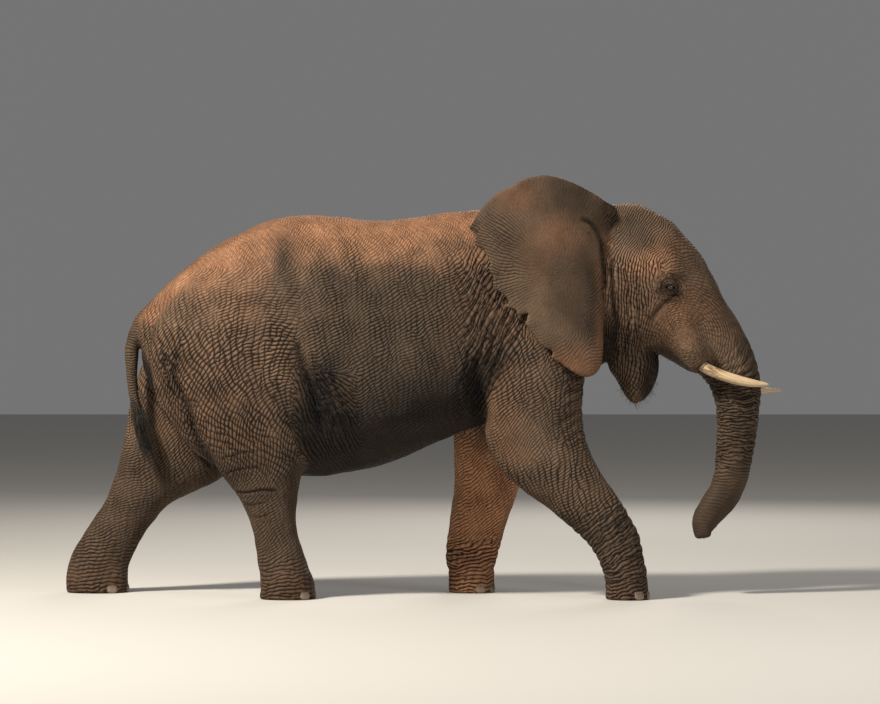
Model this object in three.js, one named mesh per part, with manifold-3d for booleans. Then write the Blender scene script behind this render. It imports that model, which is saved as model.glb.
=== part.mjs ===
// An adult African elephant in mid stride, life size, as a still museum model.
// Millimetres, +Z up, +X towards the head. The right flank faces -Y and the soles are at z = 0.
import * as THREE from "three";
import { mergeVertices } from "three/addons/utils/BufferGeometryUtils.js";
import Module from "manifold-3d";

const wasm = await Module();
wasm.setup();

// ---- Driving dimensions ----

const GAP = 0.3; // clearance between pieces that meet
const EAR_CLEARANCE = 2 * GAP; // measured across, because the ear's root slants
const LENGTH = 4564; // hind heel to the tip of the longer tusk
const RIGHT = -1;
const LEFT = 1;

// Colours of the dusty hide and of what is not hide.
const HIDE = 0x7a6252;
const HIDE_DARK = 0x5f4c41;
const IVORY = 0xe6d8b8;
const EYE_BROWN = 0x2a1a12;
const HAIR = 0x1c1714;

// Each row of a profile is one ring: [outer x, outer z, inner x, inner z, half width, centre y].
// Outer is the back, forehead or front of a leg. Inner is the belly, throat or rear of a leg.
const TRUNK_OF_BODY = [
  [-1810, 1753, -1786, 1565, 66, 0],
  [-1725, 1842, -1748, 1377, 179, 0],
  [-1589, 1983, -1598, 1152, 310, 0],
  [-1382, 2150, -1382, 964, 400, 0],
  [-1128, 2296, -1109, 832, 451, 0],
  [-846, 2387, -808, 761, 479, 0],
  [-564, 2383, -526, 768, 503, 0],
  [-263, 2358, -235, 834, 517, 0],
  [56, 2394, 56, 954, 508, 0],
  [348, 2432, 348, 1072, 475, 0],
  [620, 2425, 639, 1170, 423, 0],
  [846, 2378, 874, 1292, 362, 0],
  [1043, 2375, 1062, 1415, 306, 0],
  [1213, 2411, 1222, 1528, 268, 0],
];
const NECK_START = 880;
const NECK_END_LOW = 1185; // the slanted face between neck and head, where it meets the floor
const NECK_END_HIGH = 1070; // and at 3 metres up

const HEAD = [
  [1081, 2355, 1081, 1659, 215, 0],
  [1194, 2444, 1194, 1565, 258, 0],
  [1316, 2468, 1307, 1528, 290, 0],
  [1438, 2425, 1386, 1528, 304, 0],
  [1551, 2364, 1466, 1528, 296, 0],
  [1647, 2256, 1532, 1490, 270, 0],
  [1739, 2143, 1589, 1454, 242, 0],
  [1824, 2002, 1631, 1429, 221, 0],
  [1899, 1861, 1673, 1411, 206, 0],
  [1974, 1730, 1713, 1400, 194, 0],
  [2044, 1584, 1741, 1391, 182, 0],
  [2098, 1448, 1769, 1358, 169, 0],
  [2120, 1325, 1810, 1307, 156, 0],
  [2117, 1198, 1842, 1194, 143, 0],
  [2104, 1058, 1844, 1053, 133, 0],
  [2076, 912, 1840, 912, 122, 0],
  [2049, 785, 1829, 799, 114, 0],
  [2021, 677, 1803, 700, 107, 0],
  [1972, 573, 1754, 618, 101, 0],
  [1899, 489, 1707, 542, 93, 0],
  [1847, 439, 1688, 465, 86, 0],
  [1831, 398, 1698, 392, 81, 0],
  [1828, 369, 1711, 351, 68, 0],
];
// Rows of HEAD at which the trunk begins and is divided.
const TRUNK_ROOT = 11;
const TRUNK_CUTS = [14, 17, 20, 22];
const FOREHEAD_NARROWING = 0.14;

const JAW = [
  [1438, 1659, 1166, 1622, 141, 0],
  [1463, 1565, 1154, 1528, 141, 0],
  [1474, 1462, 1166, 1434, 128, 0],
  [1468, 1382, 1211, 1363, 102, 0],
  [1438, 1297, 1256, 1283, 71, 0],
  [1389, 1236, 1292, 1230, 43, 0],
  [1350, 1208, 1316, 1205, 19, 0],
];

const FORELEG_RIGHT = [
  [846, 2063, 573, 2101, 75, -235],
  [949, 1828, 479, 1847, 132, -268],
  [1008, 1528, 404, 1528, 167, -287],
  [987, 1274, 371, 1236, 173, -299],
  [989, 1067, 395, 987, 165, -306],
  [1026, 940, 489, 790, 155, -308],
  [1081, 822, 611, 677, 146, -308],
  [1139, 727, 752, 576, 136, -308],
  [1211, 619, 888, 465, 128, -308],
  [1280, 510, 1002, 367, 122, -308],
  [1337, 385, 1068, 274, 120, -308],
  [1363, 254, 1107, 191, 126, -308],
  [1386, 146, 1126, 123, 139, -308],
  [1402, 0, 1128, 0, 146, -308],
];
const FORELEG_LEFT = [
  [827, 2063, 555, 2101, 75, 235],
  [893, 1828, 423, 1847, 132, 268],
  [874, 1528, 301, 1528, 167, 282],
  [808, 1274, 226, 1274, 171, 291],
  [743, 1058, 188, 1058, 164, 296],
  [679, 870, 190, 870, 154, 299],
  [622, 710, 192, 719, 143, 299],
  [577, 588, 184, 606, 133, 299],
  [538, 475, 171, 494, 126, 299],
  [508, 371, 154, 390, 121, 299],
  [481, 277, 141, 287, 120, 299],
  [461, 197, 139, 202, 126, 299],
  [446, 127, 156, 123, 138, 299],
  [452, 0, 158, 0, 144, 299],
];
const HINDLEG_RIGHT = [
  [-902, 2016, -1391, 2026, 85, -216],
  [-799, 1716, -1636, 1753, 155, -254],
  [-748, 1434, -1698, 1509, 194, -273],
  [-724, 1170, -1656, 1255, 205, -280],
  [-726, 964, -1513, 1010, 194, -284],
  [-748, 804, -1354, 860, 177, -286],
  [-776, 677, -1227, 733, 158, -286],
  [-793, 550, -1128, 597, 137, -286],
  [-786, 428, -1072, 456, 122, -286],
  [-754, 306, -1042, 320, 118, -286],
  [-714, 202, -1026, 202, 128, -286],
  [-682, 123, -1017, 118, 139, -286],
  [-668, 0, -1018, 0, 144, -286],
];
const HINDLEG_LEFT = [
  [-921, 2016, -1410, 2016, 85, 216],
  [-846, 1716, -1654, 1753, 155, 254],
  [-874, 1415, -1767, 1528, 193, 271],
  [-968, 1133, -1847, 1311, 199, 276],
  [-1119, 888, -1889, 1114, 188, 280],
  [-1316, 719, -1927, 926, 169, 282],
  [-1523, 618, -1974, 747, 149, 282],
  [-1664, 526, -2023, 602, 132, 282],
  [-1750, 423, -2094, 482, 122, 282],
  [-1810, 324, -2176, 371, 119, 282],
  [-1857, 230, -2245, 254, 126, 282],
  [-1888, 136, -2280, 146, 137, 282],
  [-1886, 0, -LENGTH / 2, 0, 142, 282],
];
// Rows of each leg profile at the elbow or knee and at the wrist or ankle.
const FORELEG_JOINTS = [6, 10];
const HINDLEG_JOINTS = [5, 9];
const NAILS = { width: 70, height: 58, depth: 24, centre: 31, inset: 9 };
const FORE_NAIL_ANGLES = [-66, -24, 18, 60];
const HIND_NAIL_ANGLES = [-48, -2, 44];

// The ear's edge as (x, z), from its top front corner round by the rear to the front fold.
const EAR_EDGE = [
  [1206, 2453], [1087, 2517], [940, 2582], [778, 2628], [620, 2610], [471, 2536],
  [357, 2435], [280, 2302], [331, 2195], [415, 2035], [459, 1902], [564, 1767],
  [639, 1706], [714, 1589], [790, 1499], [884, 1424], [979, 1381], [1051, 1403],
  [1102, 1509], [1117, 1681], [1105, 1922], [1098, 2110], [1149, 2289],
];
const EAR_HUB = [874, 2026];
const EAR = {
  hingeX: 1109, // the hinge line at and below hingeZ, from where it curves forward
  hingeZ: 2082,
  hingeCurve: 0.00066,
  frontY: 235, // how far from the midplane the front edge sits
  lobeY: 385, // the same at the free lower lobe
  lobeZ: 1452,
  rearY: 535, // how far out the blade settles behind the hinge
  topY: 395, // the same along the top, which leans in over the neck
  topZ: 2600,
  flare: 179, // distance behind the hinge over which it swings out
  rimHalf: 7,
  bladeHalf: 10,
  rootHalf: 15,
  rings: 4,
  spokes: 28,
};

const EYE = { x: 1530, y: 270, z: 1936, radius: 28 };
const BROW = { x: 1540, y: 212, z: 2010, size: [150, 90, 80] };

// A tusk's axis as (x, y, z) with its radius, y counted from the midplane outwards.
const TUSK_RIGHT = [
  [1598, 184, 1574, 32],
  [1720, 203, 1458, 33],
  [1828, 231, 1400, 33],
  [1941, 252, 1362, 31],
  [2049, 267, 1338, 24],
  [2147, 276, 1330, 8],
];
const TUSK_LEFT = [
  [1598, 184, 1574, 32],
  [1720, 203, 1450, 33],
  [1842, 231, 1371, 33],
  [1993, 256, 1317, 31],
  [2143, 273, 1289, 24],
  [LENGTH / 2 - 0.5, 282, 1287, 8],
];
const SHEATH = [
  [1513, 179, 1819, 58],
  [1589, 182, 1706, 90],
  [1654, 188, 1584, 94],
  [1703, 196, 1490, 70],
  [1722, 201, 1447, 41],
];

// The tail's axis as (x, z) with its radius, and the flat tuft at its end.
const TAIL = [
  [-1673, 1800, 66],
  [-1767, 1717, 58],
  [-1825, 1612, 43],
  [-1841, 1482, 38],
  [-1839, 1356, 33],
  [-1819, 1230, 28],
  [-1794, 1103, 24],
];
const TUFT = [
  [-1799, 1130, 30, 30],
  [-1769, 997, 32, 15],
  [-1735, 885, 30, 11],
  [-1693, 759, 9, 6],
];

// ---- Shape functions ----

const ACROSS = new THREE.Vector3(0, 1, 0);
const NUDGE = 0.01; // share of a row, for finding which way a curve runs
const WELD = 1e-4; // corners nearer than this are one

// A smooth curve through triples of numbers, reached by the number of the row.
function through(triples) {
  const points = triples.map((triple) => new THREE.Vector3(...triple));
  const curve = new THREE.CatmullRomCurve3(points, false, "catmullrom", 0.5);
  return (row) => curve.getPoint(Math.min(Math.max(row / (points.length - 1), 0), 1));
}

// A power that keeps its sign, for the corners of a rounded ring.
function signedPower(value, power) {
  return Math.sign(value) * Math.abs(value) ** power;
}

// Joins closed rings of points into one body with flat ends, its faces pointing out.
function skinRings(rings) {
  const sides = rings[0].length;
  const corners = rings.flat();
  const faces = [];
  for (let ring = 0; ring + 1 < rings.length; ring++) {
    for (let side = 0; side < sides; side++) {
      const here = ring * sides + side;
      const beside = ring * sides + ((side + 1) % sides);
      faces.push(here, beside, beside + sides, here, beside + sides, here + sides);
    }
  }
  const first = corners.length;
  corners.push(middleOf(rings[0]), middleOf(rings[rings.length - 1]));
  const lastRing = (rings.length - 1) * sides;
  for (let side = 0; side < sides; side++) {
    const beside = (side + 1) % sides;
    faces.push(first, beside, side);
    faces.push(first + 1, lastRing + side, lastRing + beside);
  }
  return closedBody(corners, faces);
}

// The mean of a ring's corners.
function middleOf(ring) {
  const sum = new THREE.Vector3();
  ring.forEach((corner) => sum.add(corner));
  return sum.divideScalar(ring.length);
}

// A geometry from corners and faces, turned right side out by the sign of its volume.
function closedBody(corners, faces) {
  let volume = 0;
  const cross = new THREE.Vector3();
  for (let i = 0; i < faces.length; i += 3) {
    cross.crossVectors(corners[faces[i + 1]], corners[faces[i + 2]]);
    volume += corners[faces[i]].dot(cross);
  }
  const outward = volume > 0 ? faces : faces.slice().reverse();
  const geometry = new THREE.BufferGeometry().setFromPoints(corners);
  return geometry.setIndex(outward);
}

// A body through the rows of a profile. Each ring spans the outer and inner edge points
// and the half width, as a rounded oval that the egg number narrows towards the outer edge.
function loft(profile, { sides, steps, from = 0, to = profile.length - 1, round = 2.2,
  egg = () => 0, grow = 0, startShift = -grow, endShift = -grow }) {
  const outer = through(profile.map((row) => [row[0], 0, row[1]]));
  const inner = through(profile.map((row) => [row[2], 0, row[3]]));
  const breadth = through(profile.map((row) => [row[4], row[5], 0]));
  const rings = [];
  for (let step = 0; step <= steps; step++) {
    const row = from + ((to - from) * step) / steps;
    const reach = outer(row).sub(inner(row)).multiplyScalar(0.5);
    const centre = outer(row).add(inner(row)).multiplyScalar(0.5);
    const [halfWidth, centreY] = breadth(row).toArray();
    const forward = new THREE.Vector3().crossVectors(reach, ACROSS).normalize();
    const ahead = outer(row + NUDGE).add(inner(row + NUDGE));
    const behind = outer(row - NUDGE).add(inner(row - NUDGE));
    forward.multiplyScalar(Math.sign(forward.dot(ahead.sub(behind))));
    if (step === 0) centre.addScaledVector(forward, startShift);
    if (step === steps) centre.addScaledVector(forward, -endShift);
    centre.y = centreY;
    reach.setLength(reach.length() + grow);
    rings.push(ovalRing(centre, reach, halfWidth + grow, sides, round, egg(row)));
  }
  return skinRings(rings);
}

// One ring of a loft, about its centre.
function ovalRing(centre, reach, halfWidth, sides, round, egg) {
  const ring = [];
  for (let side = 0; side < sides; side++) {
    const turn = (2 * Math.PI * side) / sides;
    const up = signedPower(Math.sin(turn), 2 / round);
    const out = signedPower(Math.cos(turn), 2 / round) * (1 - egg * up);
    ring.push(centre.clone().addScaledVector(reach, up).addScaledVector(ACROSS, halfWidth * out));
  }
  return ring;
}

// A round body along an axis of [x, y, z, radius] rows, on one side of the animal.
function horn(rows, { side, sides, steps, grow = 0 }) {
  const axis = through(rows.map((row) => [row[0], side * row[1], row[2]]));
  const radius = through(rows.map((row) => [row[3], 0, 0]));
  const rings = [];
  for (let step = 0; step <= steps; step++) {
    const row = ((rows.length - 1) * step) / steps;
    const forward = axis(row + NUDGE).sub(axis(row - NUDGE)).normalize();
    const level = new THREE.Vector3().crossVectors(forward, ACROSS).normalize();
    const sideways = new THREE.Vector3().crossVectors(level, forward);
    const centre = axis(row);
    if (step === 0) centre.addScaledVector(forward, -grow);
    if (step === steps) centre.addScaledVector(forward, grow);
    const size = radius(row).x + grow;
    const ring = [];
    for (let corner = 0; corner < sides; corner++) {
      const turn = (2 * Math.PI * corner) / sides;
      const point = centre.clone().addScaledVector(level, size * Math.cos(turn));
      ring.push(point.addScaledVector(sideways, size * Math.sin(turn)));
    }
    rings.push(ring);
  }
  return skinRings(rings);
}

// An ellipsoid with the given half sizes, on one side of the animal.
function mound({ x, y, z, size }, side) {
  const ball = new THREE.SphereGeometry(1, 10, 6);
  ball.scale(...size);
  return ball.translate(x, side * y, z);
}

// ---- Joining and cutting ----

function solid(geometry) {
  const bare = new THREE.BufferGeometry();
  bare.setAttribute("position", geometry.getAttribute("position"));
  bare.setIndex(geometry.getIndex());
  const merged = mergeVertices(bare, WELD);
  return new wasm.Manifold(new wasm.Mesh({
    numProp: 3,
    vertProperties: Float32Array.from(merged.getAttribute("position").array),
    triVerts: Uint32Array.from(merged.getIndex().array),
  }));
}

function geometryOf(body) {
  const { numProp, vertProperties, triVerts } = body.getMesh();
  const geometry = new THREE.BufferGeometry();
  const count = vertProperties.length / numProp;
  const positions = new Float32Array(count * 3);
  for (let i = 0; i < count; i++) {
    positions.set(vertProperties.subarray(i * numProp, i * numProp + 3), i * 3);
  }
  geometry.setAttribute("position", new THREE.BufferAttribute(positions, 3));
  return geometry.setIndex(new THREE.BufferAttribute(Uint32Array.from(triVerts), 1));
}

function joined(...geometries) {
  return geometries.map(solid).reduce((sum, body) => sum.add(body));
}

function without(body, ...cutters) {
  return cutters.reduce((rest, cutter) => rest.subtract(cutter), body);
}

// A slab that fills x from one slanted face to another, each face given at floor and top.
function slab(rearLow, rearHigh, frontLow, frontHigh) {
  const top = 3000;
  const width = 2000;
  const shape = new THREE.Shape([
    new THREE.Vector2(rearLow, 0), new THREE.Vector2(frontLow, 0),
    new THREE.Vector2(frontHigh, top), new THREE.Vector2(rearHigh, top),
  ]);
  const prism = new THREE.ExtrudeGeometry(shape, { depth: width, bevelEnabled: false });
  prism.rotateX(Math.PI / 2).translate(0, width / 2, 0);
  return solid(mergeable(prism));
}

// The same geometry with only its positions, indexed.
function mergeable(geometry) {
  geometry.deleteAttribute("normal");
  geometry.deleteAttribute("uv");
  return mergeVertices(geometry, WELD);
}

// ---- Legs ----

const LEG_SIDES = 16;

// The lengths of a leg. Each starts a clearance below the one above it, or is grown all round.
function legLengths(profile, joints, grow = 0) {
  const rows = [0, ...joints, profile.length - 1];
  return rows.slice(1).map((to, length) => {
    const from = rows[length];
    const startShift = grow ? -grow : GAP * Math.sign(length);
    const steps = to - from;
    return solid(loft(profile, { sides: LEG_SIDES, steps, from, to, round: 2.1, grow, startShift }));
  });
}

// Adds a row of nails round the front of a foot, cut level with the sole.
function withNails(foot, profile, angles) {
  const [toeX, , heelX, , halfWidth, centreY] = profile[profile.length - 1];
  const reach = (toeX - heelX) / 2;
  const centreX = (toeX + heelX) / 2;
  const nails = angles.map((degrees) => {
    const turn = THREE.MathUtils.degToRad(degrees);
    const nail = new THREE.SphereGeometry(1, 7, 5);
    nail.scale(NAILS.depth, NAILS.width / 2, NAILS.height / 2);
    nail.translate(0, 0, NAILS.centre);
    nail.rotateZ(Math.atan2(Math.sin(turn) / halfWidth, Math.cos(turn) / reach));
    const x = centreX + (reach - NAILS.inset) * Math.cos(turn);
    const y = centreY + (halfWidth - NAILS.inset) * Math.sin(turn);
    return solid(nail.translate(x, y, 0));
  });
  return nails.reduce((sum, nail) => sum.add(nail), foot);
}

// ---- Ears ----

// How far from the midplane the ear's blade lies at a place in side view.
function earOut(x, z) {
  const hinge = EAR.hingeX + EAR.hingeCurve * Math.max(z - EAR.hingeZ, 0) ** 2;
  const behind = Math.max(hinge - x, 0);
  const low = THREE.MathUtils.smoothstep(-z, -EAR.hingeZ, -EAR.lobeZ);
  const high = THREE.MathUtils.smoothstep(z, EAR.hingeZ, EAR.topZ);
  const front = THREE.MathUtils.lerp(EAR.frontY, EAR.lobeY, low);
  const rear = THREE.MathUtils.lerp(EAR.rearY, EAR.topY, high);
  return THREE.MathUtils.lerp(rear, front, Math.exp(-behind / EAR.flare));
}

// Half the ear's thickness: thick at the root, thin at the rim.
function earHalf(x, share) {
  const root = Math.exp(-Math.max(EAR.hingeX - x, 0) / EAR.flare);
  const blade = THREE.MathUtils.lerp(EAR.bladeHalf, EAR.rootHalf, root);
  return THREE.MathUtils.lerp(blade, EAR.rimHalf, share ** 4);
}

// The middle of the blade at a share of the way from the hub to a point on the edge.
function bladePoint(rim, share) {
  const x = THREE.MathUtils.lerp(EAR_HUB[0], rim.x, share);
  const z = THREE.MathUtils.lerp(EAR_HUB[1], rim.z, share);
  return new THREE.Vector3(x, earOut(x, z), z);
}

// An ear as an inner and an outer face that meet along the rim.
function ear(side, grow = 0) {
  const edge = new THREE.CatmullRomCurve3(
    EAR_EDGE.map(([x, z]) => new THREE.Vector3(x, 0, z)), true, "centripetal");
  const shares = Array.from({ length: EAR.rings }, (_, ring) => Math.sqrt((ring + 1) / EAR.rings));
  const corners = [];
  const faces = [];
  const faceSize = 1 + EAR.rings * EAR.spokes;
  const addCorner = (point, share, faceSide) => {
    const out = point.y + faceSide * (earHalf(point.x, share) + grow);
    corners.push(new THREE.Vector3(point.x, side * out, point.z));
  };
  for (const faceSide of [1, -1]) {
    addCorner(new THREE.Vector3(EAR_HUB[0], earOut(...EAR_HUB), EAR_HUB[1]), 0, faceSide);
    shares.forEach((share, ring) => {
      for (let spoke = 0; spoke < EAR.spokes; spoke++) {
        const rim = edge.getPoint(spoke / EAR.spokes);
        const point = bladePoint(rim, share);
        if (ring === EAR.rings - 1) {
          const outward = point.clone().sub(bladePoint(rim, shares[ring - 1])).normalize();
          point.addScaledVector(outward, grow);
        }
        addCorner(point, share, faceSide);
      }
    });
  }
  for (const face of [0, 1]) {
    const base = face * faceSize;
    for (let spoke = 0; spoke < EAR.spokes; spoke++) {
      const beside = (spoke + 1) % EAR.spokes;
      pushTriangle(faces, face, base, base + 1 + spoke, base + 1 + beside);
      for (let ring = 0; ring + 1 < EAR.rings; ring++) {
        const near = base + 1 + ring * EAR.spokes;
        const far = near + EAR.spokes;
        pushTriangle(faces, face, near + spoke, far + spoke, far + beside);
        pushTriangle(faces, face, near + spoke, far + beside, near + beside);
      }
    }
  }
  const rimStart = 1 + (EAR.rings - 1) * EAR.spokes;
  for (let spoke = 0; spoke < EAR.spokes; spoke++) {
    const beside = (spoke + 1) % EAR.spokes;
    const outer = rimStart + spoke;
    const outerNext = rimStart + beside;
    faces.push(outer, outer + faceSize, outerNext + faceSize);
    faces.push(outer, outerNext + faceSize, outerNext);
  }
  return closedBody(corners, faces);
}

// Adds one triangle, turned round on the second face.
function pushTriangle(faces, turned, a, b, c) {
  if (turned) faces.push(a, c, b);
  else faces.push(a, b, c);
}

// ---- Tail ----

function tailBody(grow = 0) {
  const rows = TAIL.map(([x, z, radius]) => [x, 0, z, radius]);
  return solid(horn(rows, { side: RIGHT, sides: 8, steps: 10, grow }));
}

// The tuft, a sleeve round the tail's end that runs on as a flat brush.
function tailTuft() {
  const rows = TUFT.map(([x, z, halfDepth, halfWidth]) => [x + halfDepth, z, x - halfDepth, z,
    halfWidth, 0]);
  return solid(loft(rows, { sides: 8, steps: 6, round: 2 })).subtract(tailBody(GAP));
}

// ---- Head, neck and body ----

// The trunk of the body with the neck, not yet parted.
const bodyAndNeck = solid(loft(TRUNK_OF_BODY, { sides: 24, steps: 17, round: 2.25,
  egg: () => 0.1 }));

// How much the head's rings narrow towards the forehead, fading to nothing at the trunk.
const headEgg = (row) => FOREHEAD_NARROWING * Math.max(1 - row / TRUNK_ROOT, 0);

// The skull with brows and tusk sheaths on both sides.
const skull = joined(
  loft(HEAD, { sides: 20, steps: 13, to: TRUNK_ROOT, egg: headEgg }),
  ...[RIGHT, LEFT].flatMap((side) => [
    mound(BROW, side), horn(SHEATH, { side, sides: 10, steps: 5 })]));

const jawBody = solid(loft(JAW, { sides: 12, steps: 7 }));
const jawRecess = solid(loft(JAW, { sides: 12, steps: 7, grow: GAP }));

const eyes = {};
const tusks = {};
const ears = {};
const headCutters = [jawRecess];
const neckCutters = [jawRecess];
for (const [name, side, tusk] of [["right", RIGHT, TUSK_RIGHT], ["left", LEFT, TUSK_LEFT]]) {
  const ball = (radius) => {
    const sphere = new THREE.SphereGeometry(radius, 10, 7);
    return solid(mergeable(sphere.translate(EYE.x, side * EYE.y, EYE.z)));
  };
  eyes[name] = ball(EYE.radius);
  tusks[name] = solid(horn(tusk, { side, sides: 10, steps: 8 }));
  ears[name] = solid(ear(side));
  const earRecess = solid(ear(side, EAR_CLEARANCE));
  const tuskRecess = solid(horn(tusk, { side, sides: 10, steps: 8, grow: GAP }));
  headCutters.push(ball(EYE.radius + GAP), tuskRecess, earRecess);
  neckCutters.push(earRecess);
}

const legs = {
  foreleg_right: [FORELEG_RIGHT, FORELEG_JOINTS, FORE_NAIL_ANGLES],
  foreleg_left: [FORELEG_LEFT, FORELEG_JOINTS, FORE_NAIL_ANGLES],
  hindleg_right: [HINDLEG_RIGHT, HINDLEG_JOINTS, HIND_NAIL_ANGLES],
  hindleg_left: [HINDLEG_LEFT, HINDLEG_JOINTS, HIND_NAIL_ANGLES],
};
const legCutters = Object.values(legs).flatMap(([profile, joints]) =>
  legLengths(profile, joints, GAP));

const whole = bodyAndNeck.add(skull);
const farAhead = 3000;
const farBehind = -3000;
const torsoRegion = slab(farBehind, farBehind, NECK_START, NECK_START);
const neckRegion = slab(NECK_START + GAP, NECK_START + GAP, NECK_END_LOW, NECK_END_HIGH);
const headRegion = slab(NECK_END_LOW + GAP, NECK_END_HIGH + GAP, farAhead, farAhead);

// ---- The model ----

const elephant = new THREE.Group();

function addPiece(name, body, color = HIDE, roughness = 0.85) {
  const material = new THREE.MeshStandardMaterial({ color, roughness, metalness: 0 });
  const mesh = new THREE.Mesh(geometryOf(body), material);
  mesh.name = name;
  elephant.add(mesh);
}

addPiece("torso", without(whole.intersect(torsoRegion), ...legCutters, tailBody(GAP)));
addPiece("neck", without(whole.intersect(neckRegion), ...legCutters, ...neckCutters));
addPiece("head", without(whole.intersect(headRegion), ...headCutters));
addPiece("jaw", jawBody, HIDE_DARK);

const trunkRows = [TRUNK_ROOT, ...TRUNK_CUTS];
["trunk_upper", "trunk_middle", "trunk_lower", "trunk_tip"].forEach((name, length) => {
  const from = trunkRows[length];
  const to = trunkRows[length + 1];
  const options = { sides: 20, steps: to - from, from, to, startShift: GAP };
  const piece = solid(loft(HEAD, options));
  addPiece(name, without(piece, ...headCutters), HIDE_DARK);
});

for (const side of ["right", "left"]) {
  addPiece(`ear_${side}`, ears[side]);
  addPiece(`eye_${side}`, eyes[side], EYE_BROWN, 0.15);
  addPiece(`tusk_${side}`, tusks[side], IVORY, 0.45);
}

for (const [name, [profile, joints, nailAngles]] of Object.entries(legs)) {
  const [upper, lower, foot] = legLengths(profile, joints);
  addPiece(`${name}_upper`, upper);
  addPiece(`${name}_lower`, lower);
  addPiece(`${name}_foot`, withNails(foot, profile, nailAngles));
}

addPiece("tail", tailBody(), HIDE_DARK);
addPiece("tail_tuft", tailTuft(), HAIR, 0.9);

export default elephant;
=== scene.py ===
import math
import bpy
import numpy as np
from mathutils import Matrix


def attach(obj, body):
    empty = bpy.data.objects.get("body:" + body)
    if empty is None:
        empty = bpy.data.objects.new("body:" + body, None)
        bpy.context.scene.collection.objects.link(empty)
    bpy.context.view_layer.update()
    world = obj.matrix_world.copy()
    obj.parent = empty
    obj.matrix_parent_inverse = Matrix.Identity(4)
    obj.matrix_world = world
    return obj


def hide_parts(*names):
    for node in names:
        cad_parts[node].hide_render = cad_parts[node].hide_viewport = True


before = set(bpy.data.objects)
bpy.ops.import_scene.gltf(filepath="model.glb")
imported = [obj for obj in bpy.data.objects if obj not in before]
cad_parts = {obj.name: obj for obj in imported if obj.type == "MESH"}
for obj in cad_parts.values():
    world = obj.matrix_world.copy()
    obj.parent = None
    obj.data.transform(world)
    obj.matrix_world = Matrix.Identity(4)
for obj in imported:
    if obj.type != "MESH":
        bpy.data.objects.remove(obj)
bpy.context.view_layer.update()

# ---- Floor, light and camera -------------------------------------------------
# A plain pale studio floor, a soft lamp high on the left of the view, weaker ones on
# the right and behind, and a level camera 20.7 m off the animal's right flank.
FLOOR_HALF = 60.0
FLOOR_COLOUR, FLOOR_ROUGHNESS = (0.49, 0.475, 0.45, 1), 0.9
AIR_COLOUR, AIR_STRENGTH = (0.74, 0.73, 0.73, 1), 0.24
CAMERA_PLACE = (0.1015, -20.68, 1.5328)
CAMERA_LENS_MM, CAMERA_SENSOR_MM = 134.33, 36.0


def placed(name, data):
    """An object of the given mesh, lamp or camera, put in the scene."""
    thing = bpy.data.objects.new(name, data)
    bpy.context.scene.collection.objects.link(thing)
    return thing


def new_paint(name):
    """A new material, with its node tree and its shader."""
    material = bpy.data.materials.new(name)
    material.use_nodes = True
    return material, material.node_tree, material.node_tree.nodes["Principled BSDF"]


floor_mesh = bpy.data.meshes.new("studio_floor")
floor_mesh.from_pydata([(-FLOOR_HALF, -FLOOR_HALF, 0), (FLOOR_HALF, -FLOOR_HALF, 0),
                        (FLOOR_HALF, FLOOR_HALF, 0), (-FLOOR_HALF, FLOOR_HALF, 0)], [], [(0, 1, 2, 3)])
floor = placed("studio_floor", floor_mesh)
floor_paint, _, floor_shader = new_paint("studio_floor")
floor_shader.inputs["Base Color"].default_value = FLOOR_COLOUR
floor_shader.inputs["Roughness"].default_value = FLOOR_ROUGHNESS
floor_mesh.materials.append(floor_paint)

world = bpy.data.worlds.new("studio_air")
world.use_nodes = True
world.node_tree.nodes["Background"].inputs["Color"].default_value = AIR_COLOUR
world.node_tree.nodes["Background"].inputs["Strength"].default_value = AIR_STRENGTH
bpy.context.scene.world = world
bpy.context.scene.view_settings.view_transform = "Standard"


def soft_lamp(name, place, aim, size, watts, tint):
    """A square lamp of the given size at place, turned so that it faces aim."""
    lamp = bpy.data.lights.new(name, "AREA")
    lamp.size = size
    lamp.energy = watts
    lamp.color = tint
    holder = placed(name, lamp)
    holder.location = place
    away = np.array(place, float) - np.array(aim, float)
    flat = math.hypot(away[0], away[1])
    holder.rotation_euler = (math.atan2(flat, away[2]), 0, math.atan2(away[0], -away[1]))


soft_lamp("key_lamp", (-6.4, -5.6, 9.8), (0.2, 0, 1.2), 1.6, 2750, (1.0, 0.93, 0.82))
soft_lamp("side_lamp", (8.0, -7.0, 4.0), (0.4, 0, 1.2), 2.2, 260, (0.98, 0.97, 0.96))
soft_lamp("rear_lamp", (2.5, 10.5, 6.5), (0.2, 0, 1.2), 5.0, 420, (1.0, 0.95, 0.88))

camera_data = bpy.data.cameras.new("camera")
camera_data.lens = CAMERA_LENS_MM
camera_data.sensor_width = CAMERA_SENSOR_MM
camera_data.sensor_fit = "HORIZONTAL"
camera = placed("camera", camera_data)
camera.location = CAMERA_PLACE
camera.rotation_euler = (math.pi / 2, 0, 0)
bpy.context.scene.camera = camera

# ---- Hide --------------------------------------------------------------------
# One skin over the whole animal, from the nostrils to the tail: thick dry hide,
# loose at the flank and neck, ringed on the trunk and netted with cracks. It is
# worked out as a smooth union of limbs swept through the same rings as the solids.
MM = 0.001
STEPS = 8

# Rings from rump to neck: top x, z, underside x, z, half width, centre y.
BODY_RINGS = [
    (-1810, 1753, -1786, 1565, 66, 0), (-1725, 1842, -1748, 1377, 179, 0),
    (-1589, 1983, -1598, 1152, 310, 0), (-1382, 2150, -1382, 964, 400, 0),
    (-1128, 2296, -1109, 832, 451, 0), (-846, 2387, -808, 761, 479, 0),
    (-564, 2383, -526, 768, 503, 0), (-263, 2358, -235, 834, 517, 0),
    (56, 2394, 56, 954, 508, 0), (348, 2432, 348, 1072, 475, 0),
    (620, 2425, 639, 1170, 423, 0), (846, 2378, 874, 1292, 362, 0),
    (1043, 2375, 1062, 1415, 306, 0), (1213, 2411, 1222, 1528, 268, 0)]
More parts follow.
